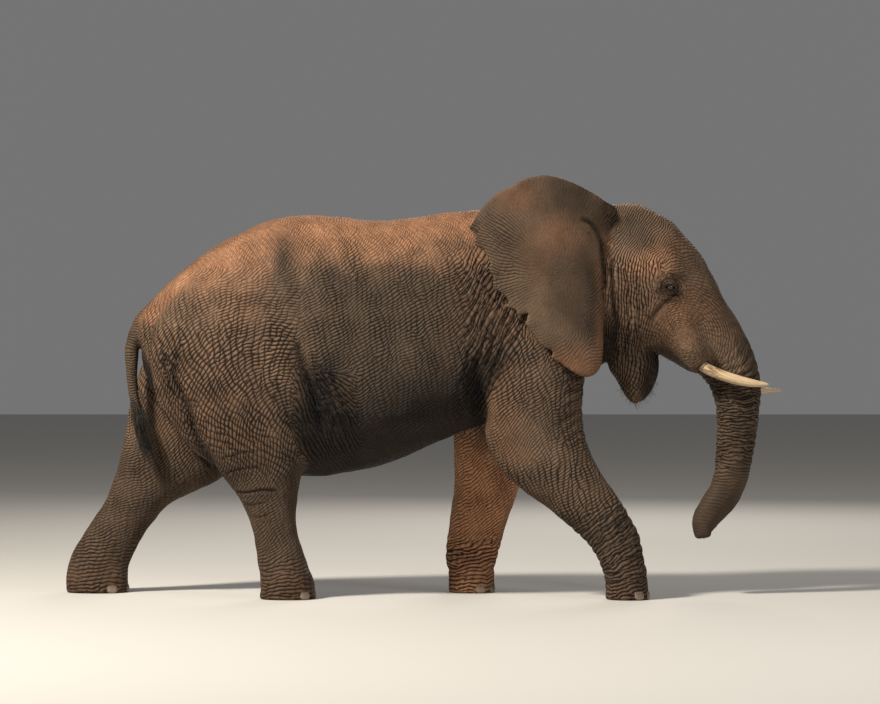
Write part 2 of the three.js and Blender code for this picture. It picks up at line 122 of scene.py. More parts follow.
# Rings from the nape over the forehead and down to the trunk's tip: front x, z,
# underside x, z, half width, centre y. The trunk begins at ring 11.
HEAD_RINGS = [
    (1081, 2355, 1081, 1659, 215, 0), (1194, 2444, 1194, 1565, 258, 0),
    (1316, 2468, 1307, 1528, 290, 0), (1438, 2425, 1386, 1528, 304, 0),
    (1551, 2364, 1466, 1528, 296, 0), (1647, 2256, 1532, 1490, 270, 0),
    (1739, 2143, 1589, 1454, 242, 0), (1824, 2002, 1631, 1429, 221, 0),
    (1899, 1861, 1673, 1411, 206, 0), (1974, 1730, 1713, 1400, 194, 0),
    (2044, 1584, 1741, 1391, 182, 0), (2098, 1448, 1769, 1358, 169, 0),
    (2120, 1325, 1810, 1307, 156, 0), (2117, 1198, 1842, 1194, 143, 0),
    (2104, 1058, 1844, 1053, 133, 0), (2076, 912, 1840, 912, 122, 0),
    (2049, 785, 1829, 799, 114, 0), (2021, 677, 1803, 700, 107, 0),
    (1972, 573, 1754, 618, 101, 0), (1899, 489, 1707, 542, 93, 0),
    (1847, 439, 1688, 465, 86, 0), (1831, 398, 1698, 392, 81, 0),
    (1828, 369, 1711, 351, 68, 0)]
TRUNK_RING = 11
JAW_RINGS = [
    (1438, 1659, 1166, 1622, 141, 0), (1463, 1565, 1154, 1528, 141, 0),
    (1474, 1462, 1166, 1434, 128, 0), (1468, 1382, 1211, 1363, 102, 0),
    (1438, 1297, 1256, 1283, 71, 0), (1389, 1236, 1292, 1230, 43, 0),
    (1350, 1208, 1316, 1205, 19, 0)]
# Rings down each leg: front x, z, rear x, z, half width, centre y.
FORELEG_RIGHT_RINGS = [
    (846, 2063, 573, 2101, 75, -235), (949, 1828, 479, 1847, 132, -268),
    (1008, 1528, 404, 1528, 167, -287), (987, 1274, 371, 1236, 173, -299),
    (989, 1067, 395, 987, 165, -306), (1026, 940, 489, 790, 155, -308),
    (1081, 822, 611, 677, 146, -308), (1139, 727, 752, 576, 136, -308),
    (1211, 619, 888, 465, 128, -308), (1280, 510, 1002, 367, 122, -308),
    (1337, 385, 1068, 274, 120, -308), (1363, 254, 1107, 191, 126, -308),
    (1386, 146, 1126, 123, 139, -308), (1402, 0, 1128, 0, 146, -308)]
FORELEG_LEFT_RINGS = [
    (827, 2063, 555, 2101, 75, 235), (893, 1828, 423, 1847, 132, 268),
    (874, 1528, 301, 1528, 167, 282), (808, 1274, 226, 1274, 171, 291),
    (743, 1058, 188, 1058, 164, 296), (679, 870, 190, 870, 154, 299),
    (622, 710, 192, 719, 143, 299), (577, 588, 184, 606, 133, 299),
    (538, 475, 171, 494, 126, 299), (508, 371, 154, 390, 121, 299),
    (481, 277, 141, 287, 120, 299), (461, 197, 139, 202, 126, 299),
    (446, 127, 156, 123, 138, 299), (452, 0, 158, 0, 144, 299)]
HINDLEG_RIGHT_RINGS = [
    (-902, 2016, -1391, 2026, 85, -216), (-799, 1716, -1636, 1753, 155, -254),
    (-748, 1434, -1698, 1509, 194, -273), (-724, 1170, -1656, 1255, 205, -280),
    (-726, 964, -1513, 1010, 194, -284), (-748, 804, -1354, 860, 177, -286),
    (-776, 677, -1227, 733, 158, -286), (-793, 550, -1128, 597, 137, -286),
    (-786, 428, -1072, 456, 122, -286), (-754, 306, -1042, 320, 118, -286),
    (-714, 202, -1026, 202, 128, -286), (-682, 123, -1017, 118, 139, -286),
    (-668, 0, -1018, 0, 144, -286)]
HINDLEG_LEFT_RINGS = [
    (-921, 2016, -1410, 2016, 85, 216), (-846, 1716, -1654, 1753, 155, 254),
    (-874, 1415, -1767, 1528, 193, 271), (-968, 1133, -1847, 1311, 199, 276),
    (-1119, 888, -1889, 1114, 188, 280), (-1316, 719, -1927, 926, 169, 282),
    (-1523, 618, -1974, 747, 149, 282), (-1664, 526, -2023, 602, 132, 282),
    (-1750, 423, -2094, 482, 122, 282), (-1810, 324, -2176, 371, 119, 282),
    (-1857, 230, -2245, 254, 126, 282), (-1888, 136, -2280, 146, 137, 282),
    (-1886, 0, -2282, 0, 142, 282)]
# Round pieces, as spheres strung along an axis: x, y outwards, z, radius.
SOCKET_BEADS = [
    (1513, 179, 1819, 58), (1589, 182, 1706, 90), (1654, 188, 1584, 94),
    (1703, 196, 1490, 70), (1722, 201, 1447, 41)]
TAIL_BEADS = [
    (-1673, 0, 1800, 66), (-1767, 0, 1717, 58), (-1825, 0, 1612, 43), (-1841, 0, 1482, 38),
    (-1839, 0, 1356, 33), (-1819, 0, 1230, 28), (-1794, 0, 1103, 24)]
TUSK_RIGHT_BEADS = [
    (1598, 184, 1574, 32), (1720, 203, 1458, 33), (1828, 231, 1400, 33),
    (1941, 252, 1362, 31), (2049, 267, 1338, 24), (2147, 276, 1330, 8)]
TUSK_LEFT_BEADS = [
    (1598, 184, 1574, 32), (1720, 203, 1450, 33), (1842, 231, 1371, 33),
    (1993, 256, 1317, 31), (2143, 273, 1289, 24), (2281.5, 282, 1287, 8)]
# The ear's outline, seen from the side: x, z.
EAR_OUTLINE = [
    (1262, 2320), (1262, 2385), (1200, 2436), (1125, 2478), (1055, 2518), (940, 2578),
    (800, 2622), (720, 2625), (617, 2604), (529, 2551), (458, 2519), (392, 2464), (355, 2420),
    (291, 2321), (280, 2292), (322, 2252), (316, 2188), (368, 2156), (405, 2083), (402, 2030),
    (428, 1986), (422, 1925), (480, 1889), (520, 1846), (498, 1812), (560, 1790), (578, 1752),
    (640, 1768), (622, 1706), (670, 1641), (723, 1571), (792, 1532), (779, 1500), (829, 1470),
    (900, 1420), (970, 1384), (1023, 1378), (1076, 1410), (1105, 1474), (1115, 1600),
    (1118, 1800), (1113, 1933), (1105, 2065), (1092, 2140), (1100, 2210), (1200, 2290)]
EYE_PLACE = (1.530, 0.270, 1.936)
EYE_RADIUS = 0.028


def through(rows, steps, closed=False):
    """A Catmull-Rom curve through the rows: b + u(c - a)/2 + u^2(2a - 5b + 4c - d)/2
    + u^3(3b - a - 3c + d)/2 between rows b and c, with steps points to each span."""
    rows = np.array(rows, float)
    if closed:
        rows = np.vstack([rows[-1:], rows, rows[:2]])
    else:
        rows = np.vstack([2 * rows[0] - rows[1], rows, 2 * rows[-1] - rows[-2]])
    spans = len(rows) - 3
    at = np.arange(spans * steps + (0 if closed else 1)) / steps
    i = np.minimum(at.astype(int), spans - 1)
    u = (at - i)[:, None]
    a, b, c, d = rows[i], rows[i + 1], rows[i + 2], rows[i + 3]
    return b + 0.5 * u * (c - a + u * (2 * a - 5 * b + 4 * c - d + u * (3 * b - a - 3 * c + d)))


def ease(low, high, x):
    """3t^2 - 2t^3 of x's place between low and high, flat outside them."""
    t = np.clip((x - low) / (high - low), 0, 1)
    return t * t * (3 - 2 * t)


def merged(a, b, soft):
    """The smaller of two distances, rounded over where they are within soft of each other."""
    return np.minimum(a, b) - np.maximum(soft - np.abs(a - b), 0) ** 2 / (4 * soft)


def larger(a, b, r):
    """The larger of two distances, rounded to radius r where both are zero."""
    return (np.minimum(np.maximum(a, b) + r, 0)
            + np.hypot(np.maximum(a + r, 0), np.maximum(b + r, 0)) - r)


def carved(a, b, soft):
    """Distance a with the inside of b taken away, rounded by soft."""
    return -merged(-a, b, soft)


def unit(ways):
    """Each row divided by its length."""
    return ways / np.maximum(np.linalg.norm(ways, axis=1), 1e-12)[:, None]


def lengths_along(line):
    """The length run so far at each point of a line."""
    return np.concatenate([[0], np.cumsum(np.linalg.norm(np.diff(line, axis=0), axis=1))])


# The columns of a ring table, in the order of the list in ring_table.
X, Z, UP_X, UP_Z, ON_X, ON_Z, TALL, WIDE, MIDDLE_Y, EGG, RUN = range(11)


def ring_table(rings, roundness, egg, end_round):
    """Rings as arrays: each ring's centre, the direction up it and onwards from it, its half
    height, half width, centre y and egg, and the length run so far."""
    curve = through(np.array(rings) * MM, STEPS)
    centre = (curve[:, 0:2] + curve[:, 2:4]) / 2
    half = (curve[:, 0:2] - curve[:, 2:4]) / 2
    height = np.hypot(half[:, 0], half[:, 1])
    across = half / height[:, None]
    onward = np.stack([-across[:, 1], across[:, 0]], 1)
    if np.sum(onward[len(onward) // 2] * (centre[-1] - centre[0])) < 0:
        onward = -onward
    row = np.arange(len(curve)) / STEPS
    eggs = egg * np.maximum(1 - row / TRUNK_RING, 0) if rings is HEAD_RINGS else egg + 0 * row
    table = np.column_stack([centre, across, onward, height, curve[:, 4:6], eggs,
                             lengths_along(centre)])
    ends = np.column_stack([centre[:, 0], curve[:, 5], centre[:, 1]])
    size = np.column_stack([height, curve[:, 4], height])
    low, high = (ends - size).min(0), (ends + size).max(0)
    return dict(table=table.astype(np.float32), roundness=roundness, end_round=end_round,
                low=low, high=high)


def limb_place(limb, points):
    """Where points lie on a limb: the ring number at which a ring's plane holds the point,
    by Newton steps from the nearest ring centre, and the table's values there."""
    table = limb["table"]
    last = len(table) - 1
    x, z = points[:, 0], points[:, 2]
    coarse = table[::STEPS, 0:2]
    away = (x[:, None] - coarse[None, :, 0]) ** 2 + (z[:, None] - coarse[None, :, 1]) ** 2
    at = away.argmin(1).astype(np.float32) * STEPS
    for _ in range(5):
        i = np.minimum(at.astype(np.int32), last - 1)
        here, step = table[i], table[i + 1] - table[i]
        here = here + step * (at - i)[:, None]
        dx, dz = x - here[:, X], z - here[:, Z]
        gap = dx * here[:, ON_X] + dz * here[:, ON_Z]
        slope = (dx * step[:, ON_X] + dz * step[:, ON_Z]
                 - step[:, X] * here[:, ON_X] - step[:, Z] * here[:, ON_Z])
        least = -0.3 * np.hypot(step[:, X], step[:, Z])
        at = np.clip(at - gap / np.minimum(slope, least), 0, last)
    i = np.minimum(at.astype(np.int32), last - 1)
    here = table[i] + (table[i + 1] - table[i]) * (at - i)[:, None]
    return at, here


def limb_distance(limb, points):
    """Distance outside a limb, about: the length from the ring's centre less the ring's
    radius that way, where |up|^n + |out|^n = 1, with the two ends cut off and rounded."""
    _, here = limb_place(limb, points)
    up = (points[:, 0] - here[:, X]) * here[:, UP_X] + (points[:, 2] - here[:, Z]) * here[:, UP_Z]
    out = points[:, 1] - here[:, MIDDLE_Y]
    high = up / here[:, TALL]
    wide = out / (here[:, WIDE] * (1 - here[:, EGG] * np.clip(high, -1, 1)))
    n = limb["roundness"]
    share = (np.abs(high) ** n + np.abs(wide) ** n) ** (1 / n)
    length = np.hypot(up, out)
    side = length - length / np.maximum(share, 1e-3)
    side = np.where(share < 0.05, -np.minimum(here[:, TALL], here[:, WIDE]), side)
    before, beyond = [(points[:, 0] - end[X]) * end[ON_X] + (points[:, 2] - end[Z]) * end[ON_Z]
                      for end in limb["table"][[0, -1]]]
    return larger(side, np.maximum(-before, beyond), limb["end_round"])


def beads_distance(beads, sign, points, grow=0.0):
    """Distance outside a string of spheres: the least of |p - centre| - radius along it."""
    curve = through(np.array(beads) * MM, 3 * STEPS)
    best = np.full(len(points), 9.0, np.float32)
    for x, y, z, radius in curve:
        away = points - np.array((x, sign * y, z), np.float32)
        best = np.minimum(best, np.sqrt((away * away).sum(1)) - radius - grow)
    return best


EAR_HUB = (0.874, 2.026)
EAR_HINGE_X, EAR_CURL = 1.109, 0.179
EAR_LOBE_Z, EAR_MIDDLE_Z, EAR_TOP_Z = 1.452, 2.082, 2.600
EAR_FRONT_OUT, EAR_REAR_OUT = 0.235, 0.535
LOBE_FRONT_OUT, TOP_FRONT_IN, TOP_REAR_IN = 0.150, 0.115, 0.140
FAN_DEPTH = 0.006


def ear_surface(x, z):
    """How far out the middle of an ear's blade stands: from its hinge line it swings out and
    back as rear + (front - rear) exp(-behind / 0.179), less far at the lobe, with fan folds
    that deepen towards the rear edge and a lobe that ripples."""
    hinge = EAR_HINGE_X + 0.66 * np.maximum(z - EAR_MIDDLE_Z, 0) ** 2
    behind = np.maximum(hinge - x, 0)
    front = (EAR_FRONT_OUT + LOBE_FRONT_OUT * ease(-EAR_MIDDLE_Z, -EAR_LOBE_Z, -z)
             - TOP_FRONT_IN * ease(2.16, 2.44, z))
    rear = EAR_REAR_OUT - TOP_REAR_IN * ease(EAR_MIDDLE_Z, EAR_TOP_Z, z)
    plain = rear + (front - rear) * np.exp(-behind / EAR_CURL)
    angle = np.arctan2(z - EAR_HUB[1], x - EAR_HUB[0])
    away = np.hypot(x - EAR_HUB[0], z - EAR_HUB[1])
    fan = np.sin(11 * angle + 4 * away) * 0.6 + np.sin(19 * angle - 3 * away + 1.0) * 0.4
    return plain - FAN_DEPTH + FAN_DEPTH * fan * ease(0.20, 0.60, away)


EAR_CELL, EAR_MARGIN = 0.006, 0.15
ear_edge = through(np.array(EAR_OUTLINE) * MM, 4, closed=True)
ear_low = ear_edge.min(0) - EAR_MARGIN
ear_count = np.ceil((ear_edge.max(0) + EAR_MARGIN - ear_low) / EAR_CELL).astype(int) + 2


def outline_distance():
    """Distance outside the ear's outline on a flat grid: to the nearest edge segment, and
    negative where a ray towards +x crosses the outline an odd number of times."""
    gx = ear_low[0] + EAR_CELL * np.arange(ear_count[0])
    gz = ear_low[1] + EAR_CELL * np.arange(ear_count[1])
    x, z = np.meshgrid(gx, gz, indexing="ij")
    best = np.full(x.shape, 9.0)
    inside = np.zeros(x.shape, bool)
    for (ax, az), (bx, bz) in zip(ear_edge, np.roll(ear_edge, -1, 0)):
        ex, ez = bx - ax, bz - az
        along = np.clip(((x - ax) * ex + (z - az) * ez) / (ex * ex + ez * ez), 0, 1)
        best = np.minimum(best, np.hypot(x - ax - ex * along, z - az - ez * along))
        inside ^= ((az > z) != (bz > z)) & (x < ax + (z - az) * ex / (ez if ez else 1e-9))
    return np.where(inside, -best, best)


ear_map = outline_distance()


def looked_up(grid, low, cell, x, z):
    """A flat grid's value at x, z, mixed from its four nearest points."""
    u = np.clip((x - low[0]) / cell, 0, grid.shape[0] - 1.001)
    v = np.clip((z - low[1]) / cell, 0, grid.shape[1] - 1.001)
    i, j = u.astype(int), v.astype(int)
    u, v = u - i, v - j
    return ((grid[i, j] * (1 - u) + grid[i + 1, j] * u) * (1 - v)
            + (grid[i, j + 1] * (1 - u) + grid[i + 1, j + 1] * u) * v)


EAR_HALF_THICK, EAR_ROOT_EXTRA, EAR_RIM_ROUND, EAR_RIM_INSET = 0.010, 0.006, 0.008, 0.002
SLOPE_STEP = 0.004


def ear_distance(sign, points):
    """Distance outside an ear: a plate round its middle surface, 10 mm thick each way behind
    and 16 mm at the root, cut to the outline with a rounded rim."""
    x, y, z = points[:, 0], points[:, 1] * sign, points[:, 2]
    middle = ear_surface(x, z)
    slope_x = (ear_surface(x + SLOPE_STEP, z) - middle) / SLOPE_STEP
    slope_z = (ear_surface(x, z + SLOPE_STEP) - middle) / SLOPE_STEP
    off = np.abs(y - middle) / np.sqrt(1 + slope_x ** 2 + slope_z ** 2)
    root = np.exp(-np.maximum(EAR_HINGE_X - x, 0) / EAR_CURL)
    half = EAR_HALF_THICK + EAR_ROOT_EXTRA * root
    rim = looked_up(ear_map, ear_low, EAR_CELL, x, z) + EAR_RIM_INSET
    return larger(off - half, rim, EAR_RIM_ROUND)


BODY = ring_table(BODY_RINGS, 2.25, 0.1, 0.06)
HEAD = ring_table(HEAD_RINGS, 2.2, 0.14, 0.02)
JAW = ring_table(JAW_RINGS, 2.2, 0.0, 0.02)
LEG_ROUNDNESS = 2.1
LEGS = [ring_table(rings, LEG_ROUNDNESS, 0.0, 0.014) for rings in
        (FORELEG_RIGHT_RINGS, FORELEG_LEFT_RINGS, HINDLEG_RIGHT_RINGS, HINDLEG_LEFT_RINGS)]
LEG_NAMES = ("fore_right", "fore_left", "hind_right", "hind_left")
FAR_OFF = 0.2


def near(points, low, high, margin=0.13):
    """Which points lie in a box grown by margin."""
    return np.all((points > np.asarray(low) - margin) & (points < np.asarray(high) + margin), 1)


def joined_on(total, points, low, high, soft, distance):
    """The distance so far, merged over soft with another shape's inside its own box."""
    pick = np.nonzero(near(points, low, high))[0]
    if len(pick):
        reach = soft(points[pick]) if callable(soft) else soft
        total[pick] = merged(total[pick], distance(points[pick]), reach)


def ear_blend(points):
    """How far an ear's root is rounded into the head: 35 mm, and 100 mm at its top corner."""
    return 0.035 + 0.065 * ease(2.18, 2.40, points[:, 2]) * ease(0.90, 1.12, points[:, 0])


# How far the shapes round into each other where they join, and the boxes they lie in.
BODY_JOIN, HEAD_JOIN, LEG_JOIN, JAW_JOIN = 0.02, 0.05, 0.07, 0.03
TAIL_JOIN, SOCKET_JOIN, TUSK_HOLE_JOIN, NOSTRIL_JOIN = 0.05, 0.06, 0.012, 0.014
TUSK_HOLE_GROWTH = 0.004
TAIL_BOX = ((-1.88, -0.07, 1.08), (-1.60, 0.07, 1.87))
TRUNK_END_BOX = ((1.74, -0.06, 0.36), (1.86, 0.06, 0.50))
EAR_BOX = ((0.27, 0.08, 1.37), (1.27, 0.60, 2.64))
SOCKET_BOX = ((1.45, 0.08, 1.40), (1.80, 0.30, 1.88))
TUSK_HOLE_BOX = ((1.60, 0.08, 1.38), (1.80, 0.30, 1.60))


def on_side(corners, side):
    """The low and high corners of a box given for the side towards +y, on either side."""
    (x0, y0, z0), (x1, y1, z1) = corners
    low, high = sorted((side * y0, side * y1))
    return (x0, low, z0), (x1, high, z1)


def hide_distance(points):
    """Distance outside the whole animal: the smooth union of its limbs, less the sockets of
    the eyes and tusks and the two nostrils."""
    total = np.full(len(points), FAR_OFF, np.float32)
    for limb, soft in ([(BODY, BODY_JOIN), (HEAD, HEAD_JOIN)] + [(leg, LEG_JOIN) for leg in LEGS]
                       + [(JAW, JAW_JOIN)]):
        joined_on(total, points, limb["low"], limb["high"], soft, lambda p: limb_distance(limb, p))
    joined_on(total, points, *TAIL_BOX, TAIL_JOIN, lambda p: beads_distance(TAIL_BEADS, 1, p))
    for side in (-1, 1):
        joined_on(total, points, *on_side(EAR_BOX, side), ear_blend,
                  lambda p: ear_distance(side, p))
        joined_on(total, points, *on_side(SOCKET_BOX, side), SOCKET_JOIN,
                  lambda p: beads_distance(SOCKET_BEADS, side, p))
        pick = np.nonzero(near(points, *on_side(TUSK_HOLE_BOX, side), 0.03))[0]
        if len(pick):
            tusk = TUSK_RIGHT_BEADS if side < 0 else TUSK_LEFT_BEADS
            hole = beads_distance(tusk, side, points[pick], TUSK_HOLE_GROWTH)
            total[pick] = carved(total[pick], hole, TUSK_HOLE_JOIN)
        place = np.array((EYE_PLACE[0], side * EYE_PLACE[1], EYE_PLACE[2]), np.float32)
        pick = np.nonzero(near(points, place, place, 0.11))[0]
        if len(pick):
            total[pick] = lids(total[pick], points[pick] - place, side)
    pick = np.nonzero(near(points, *TRUNK_END_BOX, 0.06))[0]
    if len(pick):
        total[pick] = carved(total[pick], nostrils(points[pick]), NOSTRIL_JOIN)
    return total


LID_THICK = 0.0060
EYE_HALF_LENGTH = 0.0330
UPPER_LID_RISE = 0.0145
LOWER_LID_DROP = 0.0165
EYE_TILT = math.radians(-9)
LID_JOIN, SLIT_JOIN, SLIT_BACK = 0.022, 0.004, -0.006


def lens(along, rise, high, low):
    """Distance outside an almond: inside two circles, one through each lid's arc."""
    upper = (EYE_HALF_LENGTH ** 2 + high ** 2) / (2 * high)
    lower = (EYE_HALF_LENGTH ** 2 + low ** 2) / (2 * low)
    return np.maximum(np.hypot(along, rise + upper - high) - upper,
                      np.hypot(along, rise - lower + low) - lower)


def lids(total, off, side):
    """The lids of one eye: a round cover over the ball, with an almond slit cut through it
    as far back as the ball's middle."""
    along = off[:, 0] * math.cos(EYE_TILT) + off[:, 2] * math.sin(EYE_TILT)
    rise = off[:, 2] * math.cos(EYE_TILT) - off[:, 0] * math.sin(EYE_TILT)
    outward = off[:, 1] * side
    cover = np.sqrt((off * off).sum(1)) - EYE_RADIUS - LID_THICK
    slit = np.maximum(lens(along, rise, UPPER_LID_RISE, LOWER_LID_DROP), SLIT_BACK - outward)
    return carved(merged(total, cover, LID_JOIN), slit, SLIT_JOIN)


NOSTRIL_PLACE = (1.796, 0.0, 0.398)
NOSTRIL_TILT = math.radians(33)
SCOOP_LENGTH, SCOOP_WIDTH, SCOOP_DEPTH = 0.046, 0.052, 0.044
SCOOP_IN = 0.012
TUBE_RADIUS, TUBE_OUT, TUBE_HALF = 0.019, 0.029, 0.09


def nostrils(points):
    """Distance outside the hollow in the trunk's end: a shallow scoop inside its rim, opening
    down and forward, and two tubes that run up the trunk from it."""
    x, y, z = (points - np.array(NOSTRIL_PLACE)).T
    along = x * math.cos(NOSTRIL_TILT) + z * math.sin(NOSTRIL_TILT)
    into = z * math.cos(NOSTRIL_TILT) - x * math.sin(NOSTRIL_TILT)
    share = np.sqrt((along / SCOOP_LENGTH) ** 2 + (y / SCOOP_WIDTH) ** 2
                    + ((into + SCOOP_IN) / SCOOP_DEPTH) ** 2)
    scoop = (share - 1) * SCOOP_DEPTH
    across = np.hypot(along, (np.abs(y) - TUBE_OUT) * 1.1)
    return merged(scoop, np.maximum(across - TUBE_RADIUS, np.abs(into) - TUBE_HALF), SCOOP_IN)


BLOCK = 4


def graded(low, high, steps_at):
    """Grid planes from low to high whose spacing follows the given (place, spacing) list."""
    places, spacings = zip(*steps_at)
    planes = [low]
    while planes[-1] < high:
        planes.append(planes[-1] + float(np.interp(planes[-1], places, spacings)))
    while (len(planes) - 1) % BLOCK:
        planes.append(planes[-1] + spacings[-1])
    return np.array(planes, np.float32)


def surface_net(distance, xs, ys, zs):
    """Surface nets: one vertex in each grid cell that the surface crosses, at the mean of
    the crossings on its edges, and one four-sided face round each grid edge it crosses. The
    distance is worked out only in blocks whose middle lies near enough to the surface."""
    ends = [np.stack([axis[:-1:BLOCK], axis[BLOCK::BLOCK]]) for axis in (xs, ys, zs)]
    middles = np.meshgrid(*[e.mean(0) for e in ends], indexing="ij")
    widths = np.meshgrid(*[e[1] - e[0] for e in ends], indexing="ij")
    reach = 0.5 * np.sqrt(sum(w * w for w in widths))
    probe = np.stack([m.ravel() for m in middles], 1).astype(np.float32)
    value = distance(probe).reshape(reach.shape)
    filled = np.abs(value) < 1.8 * reach + 0.020
    known = np.zeros((len(xs), len(ys), len(zs)), bool)
    for axis in range(3):
        filled = np.repeat(filled, BLOCK, axis)
    known[:-1, :-1, :-1] = filled
    known[1:] |= known[:-1]
    known[:, 1:] |= known[:, :-1]
    known[:, :, 1:] |= known[:, :, :-1]
    i, j, k = np.nonzero(known)
    values = np.ones(known.shape, np.float32)
    spots = np.stack([xs[i], ys[j], zs[k]], 1)
    parts = np.array_split(np.arange(len(spots)), max(len(spots) // 150000, 1))
    values[i, j, k] = np.concatenate([distance(spots[part]) for part in parts])
    inside = values < 0

    def corner(array, a, b, c):
        """A grid's values at one of the eight corners of every cell."""
        return array[a:array.shape[0] - 1 + a, b:array.shape[1] - 1 + b, c:array.shape[2] - 1 + c]

    corners = [(a, b, c) for a in (0, 1) for b in (0, 1) for c in (0, 1)]
    some = np.zeros([n - 1 for n in known.shape], bool)
    every = np.ones_like(some)
    for a, b, c in corners:
        some |= corner(inside, a, b, c)
        every &= corner(inside, a, b, c)
    mixed = some & ~every
    for a, b, c in corners:
        mixed &= corner(known, a, b, c)
    ci, cj, ck = np.nonzero(mixed)
    number = np.full(mixed.shape, -1, np.int64)
    number[ci, cj, ck] = np.arange(len(ci))
    total = np.zeros((len(ci), 3))
    count = np.zeros(len(ci))
    for axis in range(3):
        for a, b, c in [p for p in corners if p[axis] == 0]:
            start = (ci + a, cj + b, ck + c)
            stop = (ci + a + (axis == 0), cj + b + (axis == 1), ck + c + (axis == 2))
            v0, v1 = values[start], values[stop]
            cut = (v0 < 0) != (v1 < 0)
            share = np.where(cut, v0 / np.where(cut, v0 - v1, 1), 0)
            p0 = np.stack([xs[start[0]], ys[start[1]], zs[start[2]]], 1)
            p1 = np.stack([xs[stop[0]], ys[stop[1]], zs[stop[2]]], 1)
            total += np.where(cut[:, None], p0 + (p1 - p0) * share[:, None], 0)
            count += cut
    vertices = total / count[:, None]
    faces = []
    for axis in range(3):
        lower = [slice(1, -1)] * 3
        upper = [slice(1, -1)] * 3
        lower[axis] = slice(0, -1)
        upper[axis] = slice(1, None)
        first, second = inside[tuple(lower)], inside[tuple(upper)]
        one, two = [d for d in range(3) if d != axis]
        e = list(np.nonzero(first != second))
        flips = first[tuple(e)]
        e[one], e[two] = e[one] + 1, e[two] + 1
        quad = []
        for back_one, back_two in ((1, 1), (0, 1), (0, 0), (1, 0)):
            cell = [c.copy() for c in e]
            cell[one] -= back_one
            cell[two] -= back_two
            quad.append(number[tuple(cell)])
        quad = np.stack(quad, 1)
        turn = flips if axis != 1 else ~flips
        quad[~turn] = quad[~turn][:, ::-1]
        faces.append(quad[quad.min(1) >= 0])
    return vertices, np.concatenate(faces)


xs = graded(-2.34, 2.34, [(-2.34, 0.014), (1.0, 0.013), (1.2, 0.009), (1.45, 0.008),
                          (1.49, 0.005), (1.57, 0.005), (1.61, 0.008), (2.34, 0.009)])
ys = graded(-0.60, 0.60, [(-0.60, 0.0105), (0.60, 0.0105)])
zs = graded(-0.03, 2.68, [(-0.03, 0.009), (0.3, 0.010), (1.2, 0.010), (1.86, 0.009),
                          (1.90, 0.006), (1.97, 0.006), (2.02, 0.010), (2.68, 0.010)])
hide_points, hide_faces = surface_net(hide_distance, xs, ys, zs)


def ripple(points, size, seed):
    """Smooth unevenness from about -1 to 1: seven sine waves of about the given length in
    random directions, added up."""
    draw = np.random.default_rng(seed)
    total = np.zeros(len(points))
    for _ in range(7):
        way = draw.normal(size=3)
        way *= 2 * math.pi / size * draw.uniform(0.6, 1.5) / np.linalg.norm(way)
        total += np.sin(points @ way + draw.uniform(0, 2 * math.pi))
    return total / 3.2


def loosened(points, faces, passes):
    """Points moved half way to the mean of their neighbours, passes times, then as far back
    by the same rule with the opposite sign, so that the shape keeps its size."""
    edges = np.concatenate([faces[:, [0, 1]], faces[:, [1, 2]], faces[:, [2, 3]], faces[:, [3, 0]]])
    count = sum(np.bincount(edges[:, end], minlength=len(points)) for end in (0, 1))
    for share in [0.5, -0.52] * passes:
        mean = np.stack([np.bincount(edges[:, 0], points[edges[:, 1], axis], len(points))
                         + np.bincount(edges[:, 1], points[edges[:, 0], axis], len(points))
                         for axis in range(3)], 1) / np.maximum(count, 1)[:, None]
        points = points + share * (mean - points)
    return points


def face_normals(points, faces):
    """Each point's outward direction: the sum of its faces' diagonals crossed."""
    corners = points[faces]
    crossed = np.cross(corners[:, 2] - corners[:, 0], corners[:, 3] - corners[:, 1])
    total = np.stack([sum(np.bincount(faces[:, c], crossed[:, axis], len(points)) for c in range(4))
                      for axis in range(3)], 1)
    return unit(total)


SHARE_FADE = 0.012


def survey(points):
    """What each point of the hide belongs to: its side, for each limb a share from 0 to 1 that
    falls off over 40 mm, and its ring number, height, way out and run along that limb."""
    points = points.astype(np.float32)
    side = np.where(points[:, 1] < 0, -1, 1)
    away = {}
    place = {}
    for name, limb in zip(("body", "head", "jaw") + LEG_NAMES, [BODY, HEAD, JAW] + LEGS):
        away[name] = np.full(len(points), FAR_OFF)
        place[name] = np.zeros((len(points), 4))
        pick = np.nonzero(near(points, limb["low"], limb["high"]))[0]
        some = points[pick]
        away[name][pick] = limb_distance(limb, some)
        at, here = limb_place(limb, some)
        up = (some[:, 0] - here[:, X]) * here[:, UP_X] + (some[:, 2] - here[:, Z]) * here[:, UP_Z]
        place[name][pick] = np.stack([at / STEPS, up, some[:, 1] - here[:, MIDDLE_Y], here[:, RUN]], 1)
    away["tail"] = np.full(len(points), FAR_OFF)
    pick = np.nonzero(near(points, *TAIL_BOX))[0]
    away["tail"][pick] = beads_distance(TAIL_BEADS, 1, points[pick])
    away["ear"] = np.full(len(points), FAR_OFF)
    for way in (-1, 1):
        pick = np.nonzero(near(points, *on_side(EAR_BOX, way), 0.05))[0]
        away["ear"][pick] = ear_distance(way, points[pick])
    names = list(away)
    near_to = np.exp(-np.maximum(np.stack([away[n] for n in names], 1), 0) / SHARE_FADE)
    # The ear's top front corner counts as head.
    corner = ease(0.98, 1.14, points[:, 0]) * ease(2.20, 2.34, points[:, 2])
    given = near_to[:, names.index("ear")] * corner
    near_to[:, names.index("ear")] -= given
    near_to[:, names.index("head")] += given
    near_to /= near_to.sum(1)[:, None]
    share = {n: near_to[:, i] for i, n in enumerate(names)}
    return side, share, place


